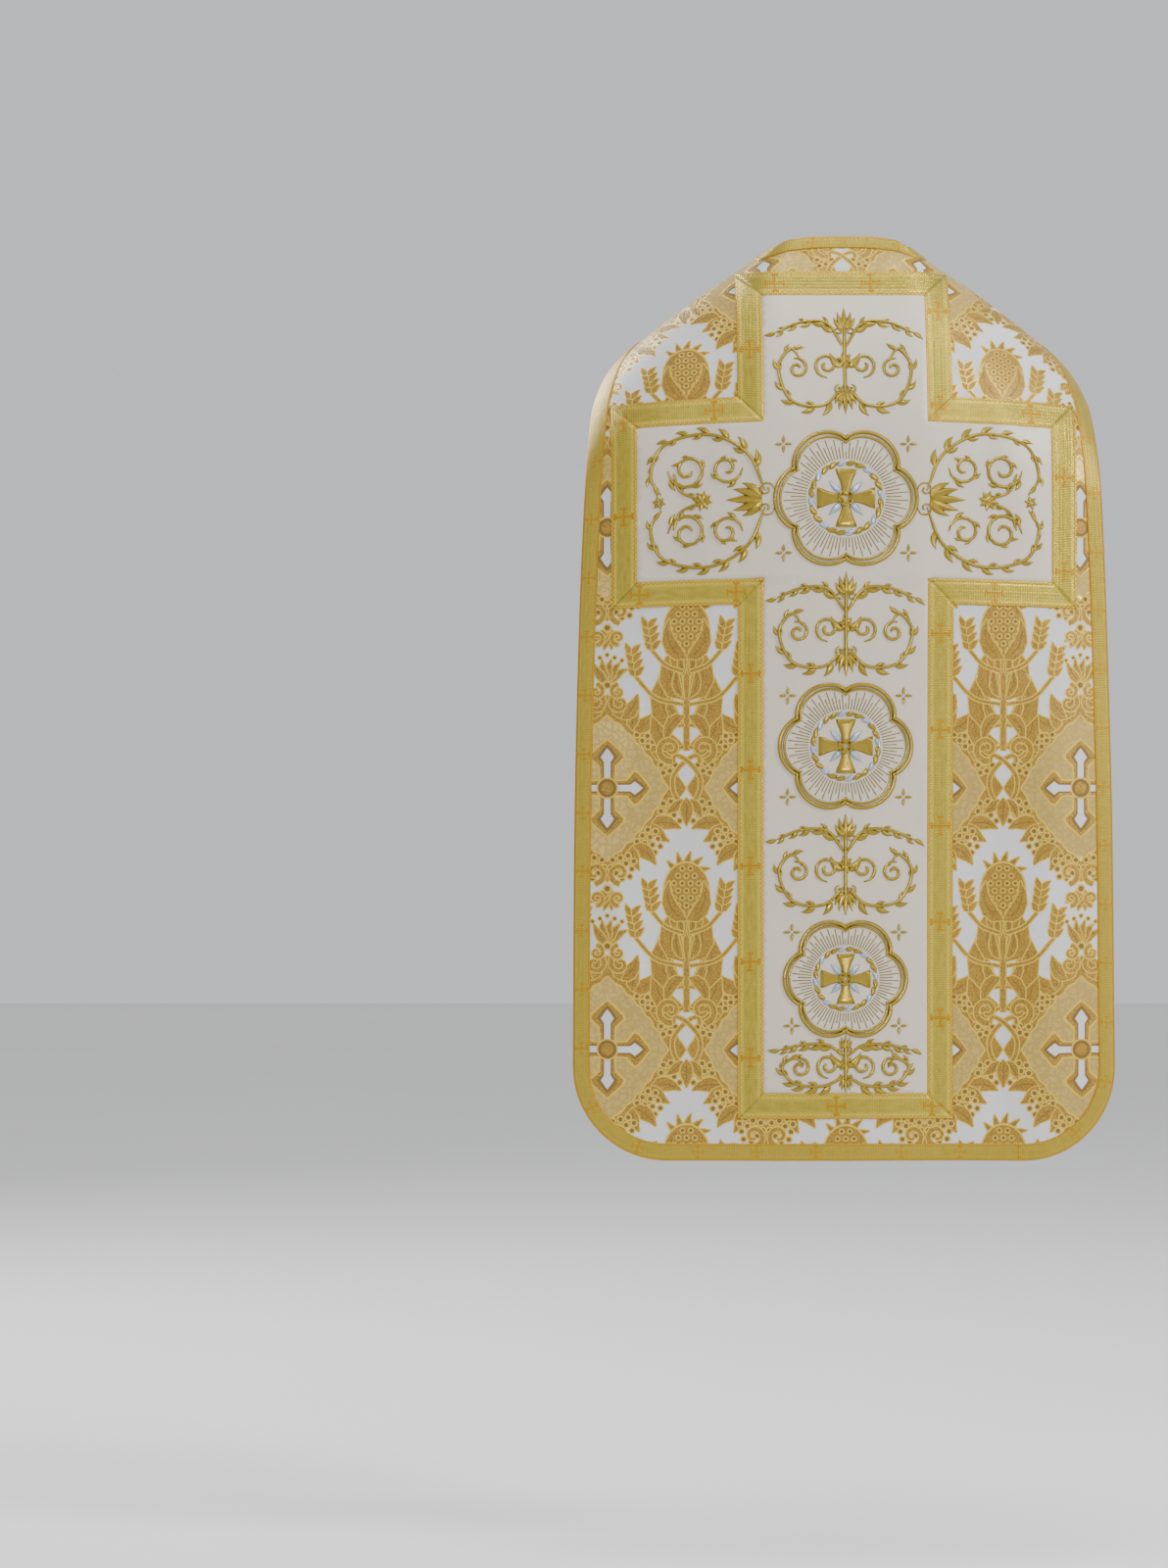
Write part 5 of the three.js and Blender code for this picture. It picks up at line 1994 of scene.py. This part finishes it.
def build_ornament(finishes: Finishes) -> Pieces:
    """Makes the orphreys and galloons.

    Args:
        finishes: the materials by name.

    Returns:
        The pieces by name.
    """
    ornament = Ornament()
    half, column = CUT.galloon / 2, CUT.column_half
    satin, gold = finishes["ivory_satin"], finishes["galloon_gold"]
    low = CUT.front_hem + CUT.hem_lap
    ring = box(column + CUT.tuck, CUT.column_head, low)
    pieces = {
        "cross": ornament.orphrey("cross_orphrey_satin", Chart.BACK, cross_outline(CUT.tuck), satin),
        "column": ornament.orphrey("column_orphrey_satin", Chart.FRONT, ring, satin),
    }
    frame = np.array([corner for corner in cross_outline(half) if corner[0] != 0])
    pieces["cross_galloon"] = ornament.galloon("cross_galloon_ribbon", Chart.BACK, frame, True, half, gold)
    for name, way in (("column_galloon_left", 1), ("column_galloon_right", -1)):
        middle = way * (column + half)
        line = np.array([(middle, CUT.column_head + 2), (middle, low - 1)])
        pieces[name] = ornament.galloon(f"{name}_ribbon", Chart.FRONT, line, False, half, gold)
    over = Ornament(galloon_edge=1.75, galloon_crown=2.3)
    line = np.array([(-CUT.chest_half, CUT.chest_level), (CUT.chest_half, CUT.chest_level)])
    pieces["chest_galloon"] = over.galloon("chest_galloon_ribbon", Chart.FRONT, line, False, half, gold)
    for name, piece in pieces.items():
        if "galloon" in name:
            hand_over(piece, "galloon", name)
        else:
            hand_over(piece, "ivory_satin", f"{name}_orphrey")
    return pieces


def build_bands(finishes: Finishes) -> Pieces:
    """Makes the edge and neck bands and their stitches.

    Args:
        finishes: the materials by name.

    Returns:
        The pieces by name.
    """
    band, stitching = Band(), Stitching()
    gold = finishes["edge_gold"]
    edge = band.build("edge_band_ribbon", CUT.side_line(0), CUT.side_line(CUT.band), 1, gold)
    neck = band.build("neck_band_ribbon", CUT.neck_line(0), CUT.neck_line(CUT.band), -1, gold)
    lines = [mirrored(line(stitching.inset)) for line in (CUT.side_line, CUT.neck_line)]
    closed = [np.concatenate([line, line[:1]]) for line in lines]
    rows = stitching.row("band_stitches", closed, finishes["fine_thread"])
    return {
        "edge": hand_over(edge, "edge_ribbon", "edge_band"),
        "neck": hand_over(neck, "edge_ribbon", "neck_band"),
        "stitches": hand_over(rows, "edge_ribbon"),
    }


def build_embroidery(finishes: Finishes) -> Pieces:
    """Makes the raised work of both orphreys.

    Args:
        finishes: the materials by name.

    Returns:
        The pieces by name.
    """
    threads = [finishes[n] for n in ("gold_cord", "fine_thread", "silver_thread")]
    back = Embroidery(Chart.BACK)
    for z, radius in ((-321, 86), (-622, 80), (-905, 74)):
        back.medallion((0, z), radius)
    back.candelabrum((0, -152), 146, 88)
    back.candelabrum((0, -474), 134, 88)
    back.candelabrum((0, -766), 128, 88)
    back.candelabrum((0, -1008), 70, 84)
    for way in (-1, 1):
        back.branch((way * 98, -321), way, 146, 92)
    front = Embroidery(Chart.FRONT)
    for z, radius in ((-352, 78), (-640, 78), (-915, 70)):
        front.medallion((0, z), radius)
    for z, tall in ((-497, 132), (-779, 126)):
        front.candelabrum((0, z), tall, 80)
    return {"back_work": hand_over(back.pile.make("cross_embroidery", threads), "ivory_satin"),
            "front_work": hand_over(front.pile.make("column_embroidery", threads), "ivory_satin")}


def declare(pieces: Pieces) -> None:
    """Says what each sheet of cloth was cut to, and what lies on it."""
    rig.sheet(pieces["back"], flat=(0.70, 1.62), area=0.84, held="draped", rests_on=["back_lining_satin"],
             with_pieces=[pieces[n] for n in ("edge", "neck", "stitches", "cross_galloon", "back_work")])
    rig.sheet(pieces["front"], flat=(0.60, 0.79), area=0.41, held="draped", rests_on=["front_lining_satin"],
             with_pieces=[pieces[n] for n in ("chest_galloon", "column_galloon_left", "column_galloon_right",
                                              "front_work")])
    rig.sheet(pieces["back_lining"], flat=(0.70, 1.62), area=0.83, held="draped",
             rests_on=["back_panel_brocade"])
    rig.sheet(pieces["front_lining"], flat=(0.60, 0.79), area=0.405, held="draped",
             rests_on=["front_panel_brocade"])
    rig.sheet(pieces["cross"], flat=(0.51, 1.00), area=0.26, held="draped", rests_on=["back_panel_brocade"])
    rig.sheet(pieces["column"], flat=(0.186, 0.75), held="draped", rests_on=["front_panel_brocade"])


def main() -> None:
    """Builds the chasuble, the studio and the record of sizes."""
    logging.basicConfig(level=logging.INFO, format="%(name)s: %(message)s")
    for left_over in list(bpy.data.objects):
        bpy.data.objects.remove(left_over)
    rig.load()
    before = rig.bounds()
    finishes = make_finishes()
    pieces: Pieces = {}
    for build in (build_cloth, build_ornament, build_bands, build_embroidery):
        pieces.update(build(finishes))
    declare(pieces)
    Studio().build()
    plain = [[[float(v) for v in corner] for corner in box] for box in (before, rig.bounds())]
    with open("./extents.json", "w") as out:
        json.dump({"cad": plain[0], "visual": plain[1]}, out)


if __name__ == "__main__":
    main()
